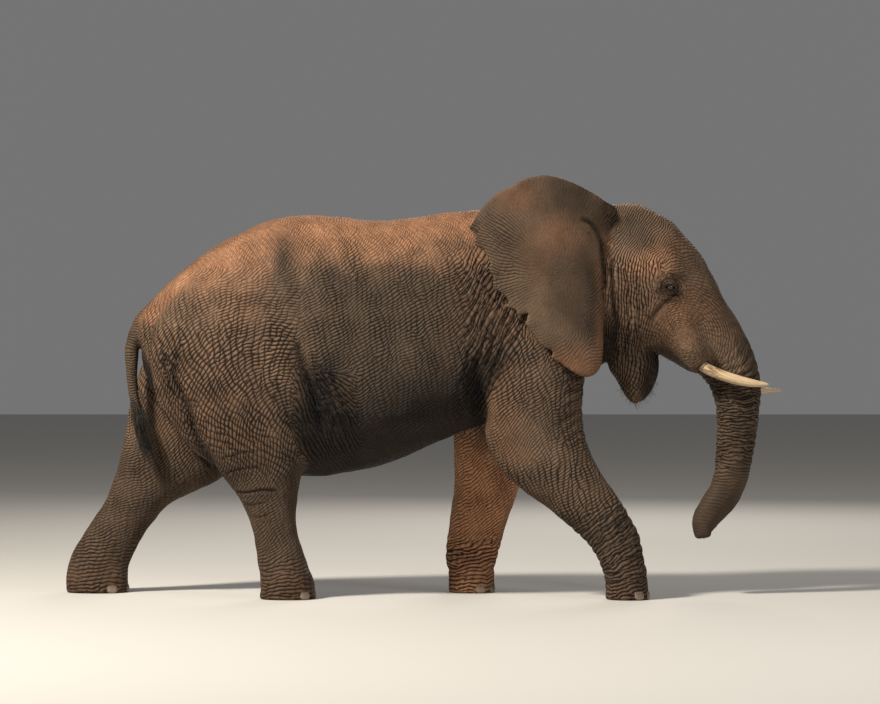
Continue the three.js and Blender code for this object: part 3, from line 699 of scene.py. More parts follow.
def line_distance(x, z, path, fade):
    """Distance in the side view from a bent line, and how much of it counts there: 1 along
    the line, falling to 0 over the fade length before both of its ends."""
    curve = through(np.array(path) * MM, 5)
    run = lengths_along(curve)
    best = np.full(len(x), 9.0)
    along_best = np.zeros(len(x))
    for k in range(len(curve) - 1):
        ex, ez = curve[k + 1] - curve[k]
        along = np.clip(((x - curve[k, 0]) * ex + (z - curve[k, 1]) * ez) / (ex * ex + ez * ez), 0, 1)
        away = np.hypot(x - curve[k, 0] - ex * along, z - curve[k, 1] - ez * along)
        closer = away < best
        best = np.where(closer, away, best)
        along_best = np.where(closer, run[k] + along * (run[k + 1] - run[k]), along_best)
    return best, ease(0, fade, along_best) * ease(0, fade, run[-1] - along_best)


# Folds that are modelled one by one, on both sides: side-view path (x, z in mm), width and
# depth in mm, and which limbs carry it.
SINGLE_FOLDS = [
    ([(-800, 1640), (-775, 1560), (-731, 1391), (-682, 1237), (-618, 1010), (-590, 900)],
     62, 34, "body hind"),
    ([(-790, 1620), (-765, 1540), (-722, 1391), (-670, 1237), (-610, 1010)], 17, 16, "body hind"),
    ([(-690, 1560), (-662, 1420), (-600, 1230), (-520, 1040)], 13, 9, "body"),
    ([(-640, 1480), (-600, 1330), (-530, 1150), (-450, 990)], 13, 9, "body"),
    ([(-575, 1440), (-530, 1300), (-460, 1140), (-380, 1010)], 12, 7, "body"),
    ([(350, 1560), (318, 1420), (330, 1280), (350, 1150), (373, 1000)], 48, 30, "body fore"),
    ([(-1500, 1600), (-1517, 1530), (-1541, 1378), (-1503, 1290), (-1442, 1148), (-1410, 1020),
      (-1349, 907), (-1262, 752)], 24, 20, "body hind"),
    ([(-1590, 1560), (-1600, 1440), (-1570, 1330), (-1520, 1240)], 13, 11, "body hind"),
    ([(-1661, 1224), (-1550, 1049), (-1440, 903), (-1330, 782)], 12, 12, "hind"),
    ([(-1450, 1240), (-1395, 1228), (-1360, 1235)], 7, 6, "hind"),
    ([(-1450, 1205), (-1395, 1190), (-1350, 1196)], 7, 6, "hind"),
    ([(-1260, 866), (-1180, 895), (-1090, 915), (-990, 921)], 7, 6, "hind_right"),
    ([(-1238, 774), (-1150, 806), (-1060, 820), (-980, 818)], 7, 6, "hind_right"),
    ([(-1195, 672), (-1100, 664), (-1000, 682), (-890, 676)], 8, 8, "hind_right"),
    ([(-1140, 600), (-1060, 588), (-960, 610)], 7, 5, "hind_right"),
    ([(-1090, 520), (-1010, 512), (-930, 545)], 7, 5, "hind_right"),
    ([(960, 2364), (1048, 2323), (1098, 2236), (1110, 2107), (1124, 2004), (1132, 1900)],
     13, 15, "head body ear"),
    ([(1400, 1690), (1440, 1775), (1530, 1862), (1625, 1905)], 16, 6, "head"),
    ([(1180, 2140), (1172, 2000), (1180, 1850), (1200, 1700)], 12, 10, "head body"),
]
# Soft hollows and swellings: x, y outwards, z, reach in x, z, height, all in mm.
SWELLINGS = [
    (1405, 250, 2200, 85, 70, -24), (1470, 250, 2080, 110, 45, 12), (1530, 270, 2025, 75, 28, 17),
    (1440, 270, 1935, 26, 90, 9), (1535, 270, 1862, 60, 22, 9), (1600, 230, 1720, 120, 110, 10),
    (-880, 300, 2230, 90, 120, 22), (-420, 450, 2000, 260, 170, -22), (-560, 450, 1450, 150, 260, -18),
    (620, 380, 1640, 170, 230, 20), (470, 400, 1980, 120, 150, 12), (560, 330, 1010, 130, 120, 16),
    (-1180, 420, 1420, 260, 260, 18), (-1500, 150, 1760, 140, 110, -12),
    (-60, 500, 1500, 300, 240, 12), (820, 300, 880, 130, 80, 8), (-1000, 300, 700, 80, 70, 9)]


def band(v, rise, level, fall, end):
    """0 up to rise, 1 from level to fall, and 0 from end on."""
    return ease(rise, level, v) * ease(-end, -fall, -v)


def box(x, z, left, right, low, high, soft):
    """1 inside a side-view box, falling to 0 over soft at its edges."""
    return (band(x, left - soft, left + soft, right - soft, right + soft)
            * band(z, low - soft, low + soft, high - soft, high + soft))


def blob(x, z, middle_x, middle_z, reach_x, reach_z):
    """A soft side-view spot: exp(-(dx / reach_x)^2 - (dz / reach_z)^2)."""
    return np.exp(-((x - middle_x) / reach_x) ** 2 - ((z - middle_z) / reach_z) ** 2)


def rays(x, z):
    """The direction from a centre to offsets x and z in the side view, and how far it is."""
    far = np.hypot(x, z) + 1e-6
    return (x / far, z / far), far


def onward_at(limb, at):
    """The direction down a limb at ring numbers, as x and z."""
    row = np.clip(at * STEPS, 0, len(limb["table"]) - 1).astype(int)
    return limb["table"][row, ON_X].astype(float), limb["table"][row, ON_Z].astype(float)


class Grain:
    """Mixes the wrinkles of the hide's regions, each by its mask: the direction across the
    folds, their spacing in metres, how deep they are, how strongly other folds cross them,
    and how strong the net of cracks is."""

    def __init__(self, count):
        self.total = np.full(count, 1e-4)
        self.way = np.zeros((count, 3))
        self.values = np.zeros((count, 4))

    def add(self, mask, across, spacing, depth, crossed, net):
        """One region, each value a number or an array."""
        ax, az = across
        mask = np.maximum(mask, 0)
        way = np.stack(np.broadcast_arrays(ax, 0 * mask, az), 1)
        self.way += mask[:, None] * way
        self.total += mask
        given = np.broadcast_arrays(spacing, depth, crossed, net, mask)[:4]
        self.values += mask[:, None] * np.stack(given, 1)


def slanted(degrees):
    """The direction across lines that rise forwards at an angle."""
    turn = np.radians(degrees)
    return -np.sin(turn), np.cos(turn)


def wrinkles(points, facing, side, share, place):
    """The grain of the whole hide, region by region, in the side view: the direction across
    the folds laid into the surface, and the four numbers of Grain."""
    x, y, z = points[:, 0], np.abs(points[:, 1]), points[:, 2]
    out = Grain(len(points))
    body, head, jaw, ear = share["body"], share["head"], share["jaw"], share["ear"]
    hind = share["hind_right"] + share["hind_left"]
    out.add(np.full(len(points), 0.04), slanted(35), 0.021, 0.5, 0.4, 0.8)
    # Haunch: arcs round the front of the stifle, upright below it, broken up like bricks.
    ray, _ = rays(x + np.interp(z, [1.10, 1.65], [0.70, 0.93]), np.maximum(z - 0.98, 0) * 0.8)
    out.add(box(x, z, -1.78, -0.84, 0.70, 1.90, 0.10) * np.maximum(body, hind), ray,
            np.interp(z, [1.0, 1.5, 1.9], [0.020, 0.0235, 0.019]),
            np.interp(z, [1.3, 1.6, 1.95], [0.85, 0.90, 0.5]), 0.80, 0.6)
    # Back and top of the rump: fine dusty pebbles.
    out.add(box(x, z, -1.85, 0.95, 2.16, 2.70, 0.14) * body, slanted(60), 0.016, 0.36, 0.8, 0.9)
    # Middle of the flank: lines that fall towards the tail.
    out.add(box(x, z, -0.62, 0.22, 1.20, 2.16, 0.14) * body, slanted(32), 0.0195, 0.72, 0.60, 0.6)
    # Low in front of the thigh: folds that fall forwards to the belly.
    out.add(1.5 * box(x, z, -0.78, -0.42, 0.80, 1.40, 0.045) * body, slanted(290), 0.026, 0.95, 0.30, 0.4)
    # Belly.
    out.add(0.7 * ease(-1.0, -0.82, -z) * body, slanted(20), 0.022, 0.5, 0.3, 0.6)
    # Behind the shoulder: long deep folds.
    out.add(1.2 * box(x, z, 0.26, 0.62, 1.15, 2.16, 0.10) * body, slanted(64), 0.028, 1.05, 0.40, 0.5)
    # Shoulder and upper forelegs: lines crossed by others.
    slope = np.interp(z, [1.1, 1.3, 1.6, 1.9], [28, 33, 46, 66])
    for name, hand, upper in (("fore_right", side < 0, box(x, z, 0.50, 1.25, 0.98, 1.95, 0.09)),
                              ("fore_left", side > 0, box(x, z, 0.25, 1.0, 1.05, 1.95, 0.09))):
        out.add(1.3 * upper * np.clip(share[name] + 0.4 * body * hand, 0, 1),
                slanted(slope), 0.0200, 0.80, 0.70, 0.35)
    elbow = share["fore_right"] * blob(x, z, 0.62, 1.00, 0.13, 0.13)
    out.add(3 * elbow, slanted(80), 0.016, 0.25, 0.2, 0.35)
    # Legs: a square net on the forearm, rings at the wrist, fine slanting lines elsewhere.
    for name, first, last, tilt, spacing, depth, crossed in (
            ("fore_right", 3.9, 8.0, 12, 0.018, 0.70, 1.0), ("fore_right", 8.0, 13.5, 14, 0.025, 1.10, 0.3),
            ("fore_left", 3.9, 9.6, 42, 0.018, 0.60, 0.4), ("fore_left", 9.6, 13.5, 8, 0.025, 0.95, 0.3),
            ("hind_right", 5.2, 9.4, 48, 0.017, 0.50, 0.6), ("hind_right", 9.4, 13.0, 6, 0.024, 0.8, 0.4),
            ("hind_left", 3.6, 9.2, 30, 0.018, 0.55, 0.6), ("hind_left", 9.2, 13.0, 6, 0.024, 0.8, 0.4)):
        at = place[name][:, 0]
        down_x, down_z = onward_at(LEGS[LEG_NAMES.index(name)], at)
        c, n = math.cos(math.radians(tilt)), math.sin(math.radians(tilt))
        mask = band(at, first - 0.7, first + 0.7, last - 0.7, last + 0.7) * share[name]
        out.add(1.3 * mask, (down_z * n - down_x * c, -down_z * c - down_x * n),
                spacing, depth, crossed, 0.5)
    # Neck and back of the cheek: upright folds that part and join.
    out.add(1.3 * box(x, z, 1.00, 1.42, 1.42, 2.08, 0.07) * np.clip(head + body + jaw, 0, 1),
            slanted(91), 0.0205, 0.95, 0.35, 0.4)
    out.add(1.0 * jaw * ease(-1.50, -1.38, -z), slanted(75), 0.020, 0.7, 0.6, 0.6)
    # Crown and temple: fine lines that fall steeply backwards.
    out.add(1.2 * box(x, z, 0.98, 1.50, 2.14, 2.56, 0.07) * np.clip(head + body, 0, 1), slanted(57),
            0.0150, 0.66, 0.22, 0.3)
    # Forehead and the root of the trunk: arcs round the tusk's socket, which is smooth.
    ray, radius = rays(x - 1.62, z - 1.62)
    at = place["head"][:, 0]
    out.add(1.1 * head * ease(0.17, 0.30, radius) * band(at, 3.6, 6.0, 10.5, 12.5), ray,
            0.020, 0.50, 0.35, 0.4)
    out.add(3.5 * head * np.exp(-(radius / 0.21) ** 4), ray, 0.0170,
            0.36 * ease(0.04, 0.10, radius), 0.9, 0.95)
    # Trunk: rings, closest in the middle, fading to smooth hide near the tip.
    deep = np.interp(at, [10, 12, 14.8, 16, 17.2, 22], [0.7, 1.1, 1.0, 0.55, 0.20, 0.16])
    out.add(1.6 * head * ease(10.5, 12.5, at), onward_at(HEAD, at), 0.0215, deep,
            np.interp(at, [11, 14, 17], [0.35, 0.18, 0.15]), np.interp(at, [15, 18], [0.5, 0.25]))
    # Round each eye.
    ray, gap = rays(x - EYE_PLACE[0], (z - EYE_PLACE[2]) * 1.2)
    out.add(4 * ease(-0.125, -0.075, -gap) * head * (y > 0.12), ray, 0.0125, 0.75, 0.3, 0.3)
    # Ears: smooth in the middle, short folds that fan out to the rear edge, and fine lines
    # that run down the front edge and round into the lobe.
    (ray_x, ray_z), _ = rays(x - EAR_HUB[0], z - EAR_HUB[1])
    rear = (1 - ease(0.44, 0.74, x + 0.35 * (2.0 - z) * (z < 2.0))) * ease(1.56, 1.72, z)
    rear *= 1 - ease(2.30, 2.46, z)
    out.add(3 * ear, (-ray_z, ray_x), 0.0195, 0.07 + 0.50 * rear, 0.30, 0.35)
    front = ease(0.98, 1.06, x) * ease(-2.18, -2.05, -z)
    out.add(5 * ear * front, slanted(90), 0.017, 0.6, 0.1, 0.2)
    ray, gap = rays(x - 0.86, z - 1.86)
    lobe = ease(-1.78, -1.62, -z) * ease(0.20, 0.30, gap)
    out.add(4 * ear * lobe, ray, 0.020, 0.38 - 0.30 * ease(-1.50, -1.42, -z), 0.2, 0.3)
    out.add(2 * share["tail"], slanted(0), 0.016, 0.6, 0.3, 0.4)
    values = out.values / out.total[:, None]
    way = out.way - facing * (out.way * facing).sum(1)[:, None]
    length = np.linalg.norm(way, axis=1)
    spare = np.cross(facing, np.array((0.0, 1.0, 0.0)))
    return unit(np.where(length[:, None] > 1e-3, way, spare)), values


def ridges(points, share, place):
    """Rounded ridges |sin(pi s)| of the folds big enough to stand out of the surface, where s
    counts them: the trunk's rings, the folds behind the shoulder, the neck's upright folds,
    the wrist's rings and the foreleg's slanting ones. Gives 0 to 1 and the height of each."""
    x, z = points[:, 0], points[:, 2]
    bent = ripple(points, 0.35, 3) * 0.012 + ripple(points, 0.12, 4) * 0.005
    at, up, out_y, run = place["head"].T
    bow = -0.35 * out_y ** 2 / 0.15 - 0.12 * up * ease(-13, -8, -at)
    spread = np.interp(z, [1.15, 1.5, 2.15], [0.060, 0.060, 0.042])
    sweep = np.interp(z, [1.15, 1.35, 1.5, 1.7, 1.9, 2.15], [-0.20, -0.17, -0.13, -0.03, 0.05, 0.09])
    slope = np.radians(33)
    right, left = place["fore_right"], place["fore_left"]
    nape = np.clip(share["head"] + share["body"] + share["jaw"], 0, 1)
    # Each kind's mask, its count of folds, and its height.
    kinds = [
        (share["head"] * band(at, 8.5, 11.5, 14.8, 17.0), (run + bow + bent * 0.7) / 0.052, 0.0075),
        (share["body"] * box(x, z, 0.22, 0.72, 1.18, 2.12, 0.10),
         (x - sweep - 0.45 + bent * 1.6) / spread, 0.0120),
        (box(x, z, 1.04, 1.40, 1.50, 2.02, 0.07) * nape, (x + 0.04 * z + bent * 2.0) / 0.078, 0.0080),
        (share["fore_right"] * band(right[:, 0], 7.6, 8.6, 12.0, 12.6),
         (right[:, 3] + 0.10 * right[:, 1] + bent) / 0.058, 0.0070),
        (share["fore_left"] * band(left[:, 0], 8.6, 9.6, 12.0, 12.6),
         (left[:, 3] + bent) / 0.058, 0.0055),
        (share["fore_right"] * box(x, z, 0.84, 1.2, 0.95, 1.55, 0.09),
         (-x * np.sin(slope) + z * np.cos(slope) + bent) / 0.058, 0.0060),
        (share["body"] * box(x, z, -0.74, -0.42, 0.92, 1.36, 0.09), (x + 0.42 * z + bent) / 0.048, 0.0070)]
    height = np.zeros(len(points))
    sunk = np.zeros(len(points))
    for mask, count, size in kinds:
        ridge = np.abs(np.sin(math.pi * count)) ** 0.7
        height += mask * (ridge - 0.72) * size
        sunk = np.maximum(sunk, mask * (1 - ridge) ** 1.5 * min(1.0, size / 0.009))
    return height, sunk


def relief(points, share, place):
    """Height of the modelled folds and masses over the plain limbs, and how deep each point
    lies in a fold: single folds as exp(-(d / width)^2) with a raised lip, soft swellings, and
    the ridges above."""
    x, y, z = points[:, 0], np.abs(points[:, 1]), points[:, 2]
    height = np.zeros(len(points))
    sunk = np.zeros(len(points))
    on = {"body": share["body"], "head": share["head"], "ear": share["ear"],
          "fore": share["fore_right"] + share["fore_left"],
          "hind": share["hind_right"] + share["hind_left"],
          "hind_right": share["hind_right"]}
    for path, width, depth, limbs in SINGLE_FOLDS:
        width, depth = width * MM, depth * MM
        low, high = np.min(path, 0) * MM - 4 * width, np.max(path, 0) * MM + 4 * width
        pick = np.nonzero((x > low[0]) & (x < high[0]) & (z > low[1]) & (z < high[1]) & (y > 0.08))[0]
        away, counts = line_distance(x[pick], z[pick], path, max(0.05, 4.5 * width))
        held = counts * np.clip(sum(on[name][pick] for name in limbs.split()), 0, 1)
        groove = np.exp(-(away / width) ** 2)
        lip = np.exp(-((away - 2.1 * width) / (1.1 * width)) ** 2)
        height[pick] += held * (0.28 * depth * lip - depth * groove)
        sunk[pick] = np.maximum(sunk[pick], held * groove * min(1, depth / 0.008))
    for cx, cy, cz, rx, rz, rise in SWELLINGS:
        mass = blob(x, z, cx * MM, cz * MM, rx * MM, rz * MM)
        height += mass * rise * MM * ease(cy * MM - 0.25, cy * MM - 0.05, y) * (1 - share["ear"])
    bulk, valley = ridges(points, share, place)
    height += bulk
    sunk = np.maximum(sunk, valley)
    # Unevenness of the hide, and two small folds that ring each eye.
    lumps = ripple(points, 0.30, 11) * 0.0040 + ripple(points, 0.10, 12) * 0.0016
    height += lumps * (1 - 0.7 * share["ear"])
    clear = ease(0.012, 0.06, z)
    gap = np.sqrt((x - EYE_PLACE[0]) ** 2 + (z - EYE_PLACE[2]) ** 2)
    fold_ring = np.sin((gap - 0.036) / 0.0125 * math.pi)
    fold_ring *= ease(-0.085, -0.05, -gap) * ease(0.036, 0.043, gap)
    height += 0.0040 * fold_ring * share["head"] * (y > 0.15)
    calm = 1 - (gap < 0.12) * (y > 0.15) * ease(-0.050, -0.036, -gap)
    return height * clear * calm, sunk * clear


hide_points = loosened(hide_points, hide_faces, 2)
normals = face_normals(hide_points, hide_faces)
side, share, place = survey(hide_points)
height, sunk = relief(hide_points, share, place)
hide_points = hide_points + normals * height[:, None]
hide_points[:, 2] = np.maximum(hide_points[:, 2], 0)

full_mesh = bpy.data.meshes.new("hide_full")
full_mesh.from_pydata(hide_points.tolist(), [], hide_faces.tolist())
full = placed("hide_full", full_mesh)
thinned = full.modifiers.new("thinned", "DECIMATE")
HIDE_TRIANGLES = 150000
thinned.ratio = HIDE_TRIANGLES / (2 * len(hide_faces))
thin_mesh = bpy.data.meshes.new_from_object(full.evaluated_get(bpy.context.evaluated_depsgraph_get()))
bpy.data.objects.remove(full)
thin_mesh.calc_loop_triangles()
triangles = np.zeros(3 * len(thin_mesh.loop_triangles), np.int32)
thin_mesh.loop_triangles.foreach_get("vertices", triangles)
triangles = triangles.reshape(-1, 3).astype(np.int64)
spots = np.zeros(3 * len(thin_mesh.vertices), np.float32)
thin_mesh.vertices.foreach_get("co", spots)
spots = spots.reshape(-1, 3).astype(float)


def finer(points, triangles, middle, reach):
    """Splits every edge whose ends both lie within reach of a place at its middle: a triangle
    with three split edges becomes four, and one with a single split edge becomes two."""
    close = np.linalg.norm(points - np.array(middle), axis=1) < reach
    pairs = np.sort(np.stack([triangles, np.roll(triangles, -1, 1)], 2), 2).reshape(-1, 2)
    keys, which = np.unique(pairs[:, 0] * len(points) + pairs[:, 1], return_inverse=True)
    ends = np.stack([keys // len(points), keys % len(points)], 1)
    split = close[ends].all(1)
    new = np.full(len(keys), -1)
    new[split] = len(points) + np.arange(split.sum())
    points = np.vstack([points, points[ends[split]].mean(1)])
    m = new[which.reshape(-1, 3)]
    count = (m >= 0).sum(1)
    t, n = triangles[count == 3], m[count == 3]
    four = [np.stack(c, 1) for c in ((t[:, 0], n[:, 0], n[:, 2]), (n[:, 0], t[:, 1], n[:, 1]),
                                     (n[:, 2], n[:, 1], t[:, 2]), (n[:, 0], n[:, 1], n[:, 2]))]
    t, n = triangles[count == 1], m[count == 1]
    turn = (n >= 0).argmax(1)
    row = np.arange(len(t))
    a, b, c = t[row, turn], t[row, (turn + 1) % 3], t[row, (turn + 2) % 3]
    middle_point = n[row, turn]
    two = [np.stack([a, middle_point, c], 1), np.stack([middle_point, b, c], 1)]
    return points, np.concatenate([triangles[count == 0]] + four + two)


# Around both eyes and the trunk's tip the hide is split finer, and its points are moved on
# to the true surface by steps along the distance's slope, whose sides are PROBE away.
PROBE, LONGEST_MOVE = 0.0015, 0.008
FINE_SPOTS = [((EYE_PLACE[0], -0.29, EYE_PLACE[2]), (0.100, 0.068)),
              ((EYE_PLACE[0], 0.29, EYE_PLACE[2]), (0.100, 0.068)),
              ((1.785, 0.0, 0.405), (0.130, 0.080))]
for middle, reaches in FINE_SPOTS:
    for reach in reaches:
        spots, triangles = finer(spots, triangles, middle, reach)
    pick = np.nonzero(np.linalg.norm(spots - np.array(middle), axis=1) < reaches[0])[0]
    fixed = spots[pick]
    for _ in range(4):
        side, share, place = survey(fixed)
        wanted, sunk = relief(fixed, share, place)
        off = hide_distance(fixed.astype(np.float32)) - wanted
        slope = np.stack([(hide_distance((fixed + step).astype(np.float32))
                           - hide_distance((fixed - step).astype(np.float32))) / (2 * PROBE)
                          for step in PROBE * np.eye(3)], 1)
        move = slope * (off / np.maximum((slope * slope).sum(1), 0.25))[:, None]
        fixed = fixed - np.clip(move, -LONGEST_MOVE, LONGEST_MOVE)
    spots[pick] = fixed

hide_mesh = bpy.data.meshes.new("hide")
hide_mesh.from_pydata(spots.tolist(), [], triangles.tolist())
hide = placed("hide", hide_mesh)
hide_mesh.polygons.foreach_set("use_smooth", np.ones(len(hide_mesh.polygons), bool))

facing = np.zeros(3 * len(hide_mesh.vertices), np.float32)
hide_mesh.vertices.foreach_get("normal", facing)
facing = facing.reshape(-1, 3).astype(float)
side, share, place = survey(spots)
across, grain = wrinkles(spots, facing, side, share, place)
height, sunk = relief(spots, share, place)


def write(mesh, name, kind, values):
    """Puts one value per point into the mesh under a name."""
    field = {"FLOAT": "value", "FLOAT_VECTOR": "vector", "FLOAT_COLOR": "color"}[kind]
    layer = mesh.attributes.new(name, kind, "POINT")
    layer.data.foreach_set(field, np.ascontiguousarray(values, np.float32).ravel())


def paint(points, facing, share, place, sunk):
    """The hide's plain colour at each point, before cracks and dust: dark grey-brown flanks, red earth on
    the back, crown and lobes, painted shade in the folds, hollows and belly, and painted light low on the
    far foreleg."""
    x, y, z = points[:, 0], np.abs(points[:, 1]), points[:, 2]
    black = np.array((0.012, 0.008, 0.005))
    dark = np.array((0.044, 0.029, 0.018))
    plain = np.array((0.090, 0.057, 0.035))
    rust = np.array((0.190, 0.092, 0.048))
    cloud = ripple(points, 0.8, 21) * 0.5 + ripple(points, 0.28, 22) * 0.5
    speck = ripple(points, 0.13, 23)
    body = share["body"]
    at, up = place["body"][:, :2].T
    half_heights = [0.09, 0.23, 0.42, 0.59, 0.73, 0.81, 0.81, 0.76, 0.72, 0.68, 0.63, 0.54, 0.48, 0.44]
    high = np.clip(up / np.interp(at, np.arange(14), half_heights), -1.2, 1.2)
    colour = plain[None, :] * np.ones((len(points), 1))
    colour *= (1 + 0.20 * cloud + 0.08 * speck)[:, None]

    def mixed(amount, tone):
        """The colour so far, moved towards a tone by an amount from 0 to 1."""
        return colour + (np.clip(amount, 0, 1))[:, None] * (tone - colour)

    flank = body * box(x, z, -0.72, 0.55, 0.7, 2.12, 0.2)
    colour = mixed(0.88 * flank, dark * 0.86)
    front = body * box(x, z, 0.15, 1.0, 1.5, 2.4, 0.22)
    colour = mixed(0.30 * front, rust * 0.6)
    back_line = ease(0.42, 0.88, high + 0.10 * cloud + 0.05 * speck + 0.16 * ease(0.7, 1.5, -x))
    on_back = back_line * body
    colour = mixed(0.95 * on_back, rust)
    rump = body * box(x, z, -1.75, -1.0, 1.65, 2.4, 0.16)
    colour = mixed(0.40 * rump * (1 - on_back), rust * 0.66)
    hind = share["hind_right"] + share["hind_left"]
    haunch = np.clip(body + hind, 0, 1) * box(x, z, -1.7, -0.9, 0.9, 1.7, 0.2)
    colour = mixed(0.35 * haunch, rust * 0.5)
    hip = blob(x, z, -0.87, 2.09, 0.085, 0.21) * ease(0.1, 0.25, y)
    colour = mixed(0.95 * hip * body, dark * 0.60)
    # Painted shade: a dark strip along the spine's ridge over the rump.
    spine_shade = ease(0.93, 1.0, high) * ease(0.9, 1.2, -x) * body
    colour = mixed(0.55 * spine_shade, dark * 1.3)
    # Painted shade: the underside of the body is darkened towards black.
    colour = mixed(0.95 * ease(0.18, 0.68, -high) * body, black)
    # Painted shade: the crease in front of the thigh is darkened towards black.
    thigh_crease_shade = np.exp(-((x + 0.66 + 0.36 * (1.2 - z)) / 0.10) ** 2) * box(x, z, -1.0, -0.3, 0.7, 1.5, 0.1)
    colour = mixed(0.95 * thigh_crease_shade * body, black)
    head = share["head"]
    on_head = np.clip(head + body, 0, 1) * ease(0.05, 0.2, y)
    # Spots on the head. The two black ones are painted shade: round the eye in its sunken orbit under the
    # lids, and round the tusk's root where it leaves the lip.
    for cx, cz, rx, rz, amount, tone in (
            (1.26, 2.32, 0.22, 0.14, 0.85, dark * 0.85), (1.36, 2.06, 0.13, 0.07, 0.75, rust * 1.25),
            (1.47, 2.13, 0.09, 0.10, 0.6, rust * 1.15),
            (1.62, 2.25, 0.10, 0.10, 0.35, rust * 0.8), (1.38, 2.22, 0.09, 0.07, 0.65, dark),
            (1.60, 1.78, 0.20, 0.16, 0.6, rust * 0.86), (1.52, 1.930, 0.085, 0.050, 0.9, black),
            (1.735, 1.43, 0.035, 0.028, 0.85, black),
            (1.12, 2.0, 0.05, 0.3, 0.5, rust * 0.6), (1.28, 1.95, 0.10, 0.25, 0.3, rust * 0.5),
            (1.90, 1.75, 0.10, 0.2, 0.25, rust * 0.5)):
        colour = mixed(amount * blob(x, z, cx, cz, rx, rz) * on_head, tone)
    colour = mixed(0.35 * head * ease(11.0, 13.0, place["head"][:, 0]), plain * 1.15)
    colour = mixed(0.8 * head * ease(15.2, 18.0, place["head"][:, 0]), dark * 0.85)
    # Painted shade: the mouth under the upper lip, at the front of the jaw, is darkened towards black.
    mouth_shade = ease(1.35, 1.40, x) * ease(-1.66, -1.60, -z) * (y < 0.16)
    colour = mixed(0.85 * np.clip(share["jaw"] + 0.5 * head, 0, 1) * mouth_shade, black)
    colour = mixed(0.5 * share["jaw"] * box(x, z, 1.29, 1.34, 1.28, 1.45, 0.02), plain * 1.6)
    ear = share["ear"] * (1 - ease(1.00, 1.16, x) * ease(2.18, 2.34, z))
    colour = mixed(0.75 * ear, dark * (1.15 + 0.45 * cloud)[:, None])
    for cx, cz, rx, rz, amount, tone in (
            (0.86, 2.46, 0.36, 0.20, 0.90, dark * 0.54), (0.86, 2.24, 0.20, 0.13, 0.55, rust * 0.60),
            (0.57, 2.50, 0.14, 0.10, 0.6, rust * 0.55),
            (0.93, 1.45, 0.22, 0.11, 0.85, rust * 0.66), (0.92, 1.92, 0.13, 0.22, 0.5, dark * 0.8),
            (0.70, 2.05, 0.10, 0.10, 0.35, rust * 0.45), (0.36, 2.26, 0.06, 0.10, 0.4, plain * 1.2)):
        colour = mixed(amount * blob(x, z, cx, cz, rx, rz) * ear, tone)
    colour = mixed(0.7 * ear * ease(1.045, 1.085, x) * ease(-2.2, -2.0, -z), rust * 0.62)
    # The far foreleg's lower part is lighter and redder: red earth, and painted light below a slanting line
    # where the shade of the body and near leg ends.
    earth_and_painted_light = ease(-1.25, -0.75, -z) * (0.35 + 0.65 * ease(0.25, 0.55, 1.2 - z + 0.8 * (0.6 - x)))
    colour = mixed(0.85 * share["fore_left"] * earth_and_painted_light, rust * 1.9)
    colour = mixed(0.5 * share["fore_right"] * ease(-0.72, -0.42, -z), plain * 0.45)
    colour = mixed(0.5 * share["fore_right"] * box(x, z, 0.40, 0.62, 0.8, 1.5, 0.1), rust * 0.5)
    colour = mixed(0.75 * hind * ease(-1.1, -0.7, -z), plain * 0.45)
    colour = mixed(0.7 * share["tail"], dark * 0.95)
    low = ease(-0.30, 0.02, -z)
    colour = mixed(0.5 * low, rust * 0.42)
    # Painted shade: the deeper a point lies in a fold, the darker it is.
    colour *= (1 - 0.72 * np.clip(sunk, 0, 1))[:, None]
    top = ease(0.6, 1.0, facing[:, 2]) * (z > 1.6) * np.clip(head + body, 0, 1)
    colour = mixed(0.30 * top, rust * 0.8)
    # Painted shade: the hollow inside the trunk's tip is darkened almost to black.
    hole = nostrils(points)
    nostril_shade = ease(-0.010, 0.006, -hole) * (np.hypot(x - 1.79, z - 0.41) < 0.12) * (y < 0.09)
    colour = mixed(0.9 * nostril_shade, black * 0.4)
    return np.clip(colour, 0.003, 1)


CROSSING, CROSS_BEAT = math.radians(66), 0.56
level_way = np.cross(facing, across)
write(hide_mesh, "across", "FLOAT_VECTOR", across)
write(hide_mesh, "other", "FLOAT_VECTOR", math.cos(CROSSING) * across + math.sin(CROSSING) * level_way)
KERNEL = 12.0
write(hide_mesh, "beat", "FLOAT", 1 / (grain[:, 0] * KERNEL))
# Folds deepen and fade, and their lines wander, from place to place.
fading = 0.92 + 0.20 * ripple(spots, 0.24, 95) + 0.10 * ripple(spots, 0.10, 96)
bend = np.stack([0.0075 * ripple(spots, 0.17, 80 + axis) + 0.0032 * ripple(spots, 0.065, 90 + axis)
                 for axis in range(3)], 1)
write(hide_mesh, "bent", "FLOAT_VECTOR", spots + bend)
write(hide_mesh, "fold", "FLOAT_COLOR",
      np.column_stack([grain[:, 1] * fading, grain[:, 2], grain[:, 3], sunk]))
tone = paint(spots, facing, share, place, sunk)
write(hide_mesh, "tone", "FLOAT_COLOR", np.column_stack([tone, np.ones(len(spots))]))

hide_paint, hide_tree, hide_shader = new_paint("hide")


def node(tree, kind, settings=None, **inputs):
    """A shader node of the kind, its settings set, and each named input given either a
    value or another node's output."""
    made = tree.nodes.new(kind)
    for key, value in (settings or {}).items():
        setattr(made, key, value)
    for key, value in inputs.items():
        numbered = key[0] == "i" and key[1:].isdigit()
        socket = made.inputs[int(key[1:]) if numbered else key.replace("_", " ")]
        if isinstance(value, bpy.types.NodeSocket):
            tree.links.new(value, socket)
        else:
            socket.default_value = value
    return made


def maths(tree, operation, a, b=0.0, c=0.0):
    """One arithmetic node's output."""
    return node(tree, "ShaderNodeMath", dict(operation=operation), i0=a, i1=b, i2=c).outputs[0]


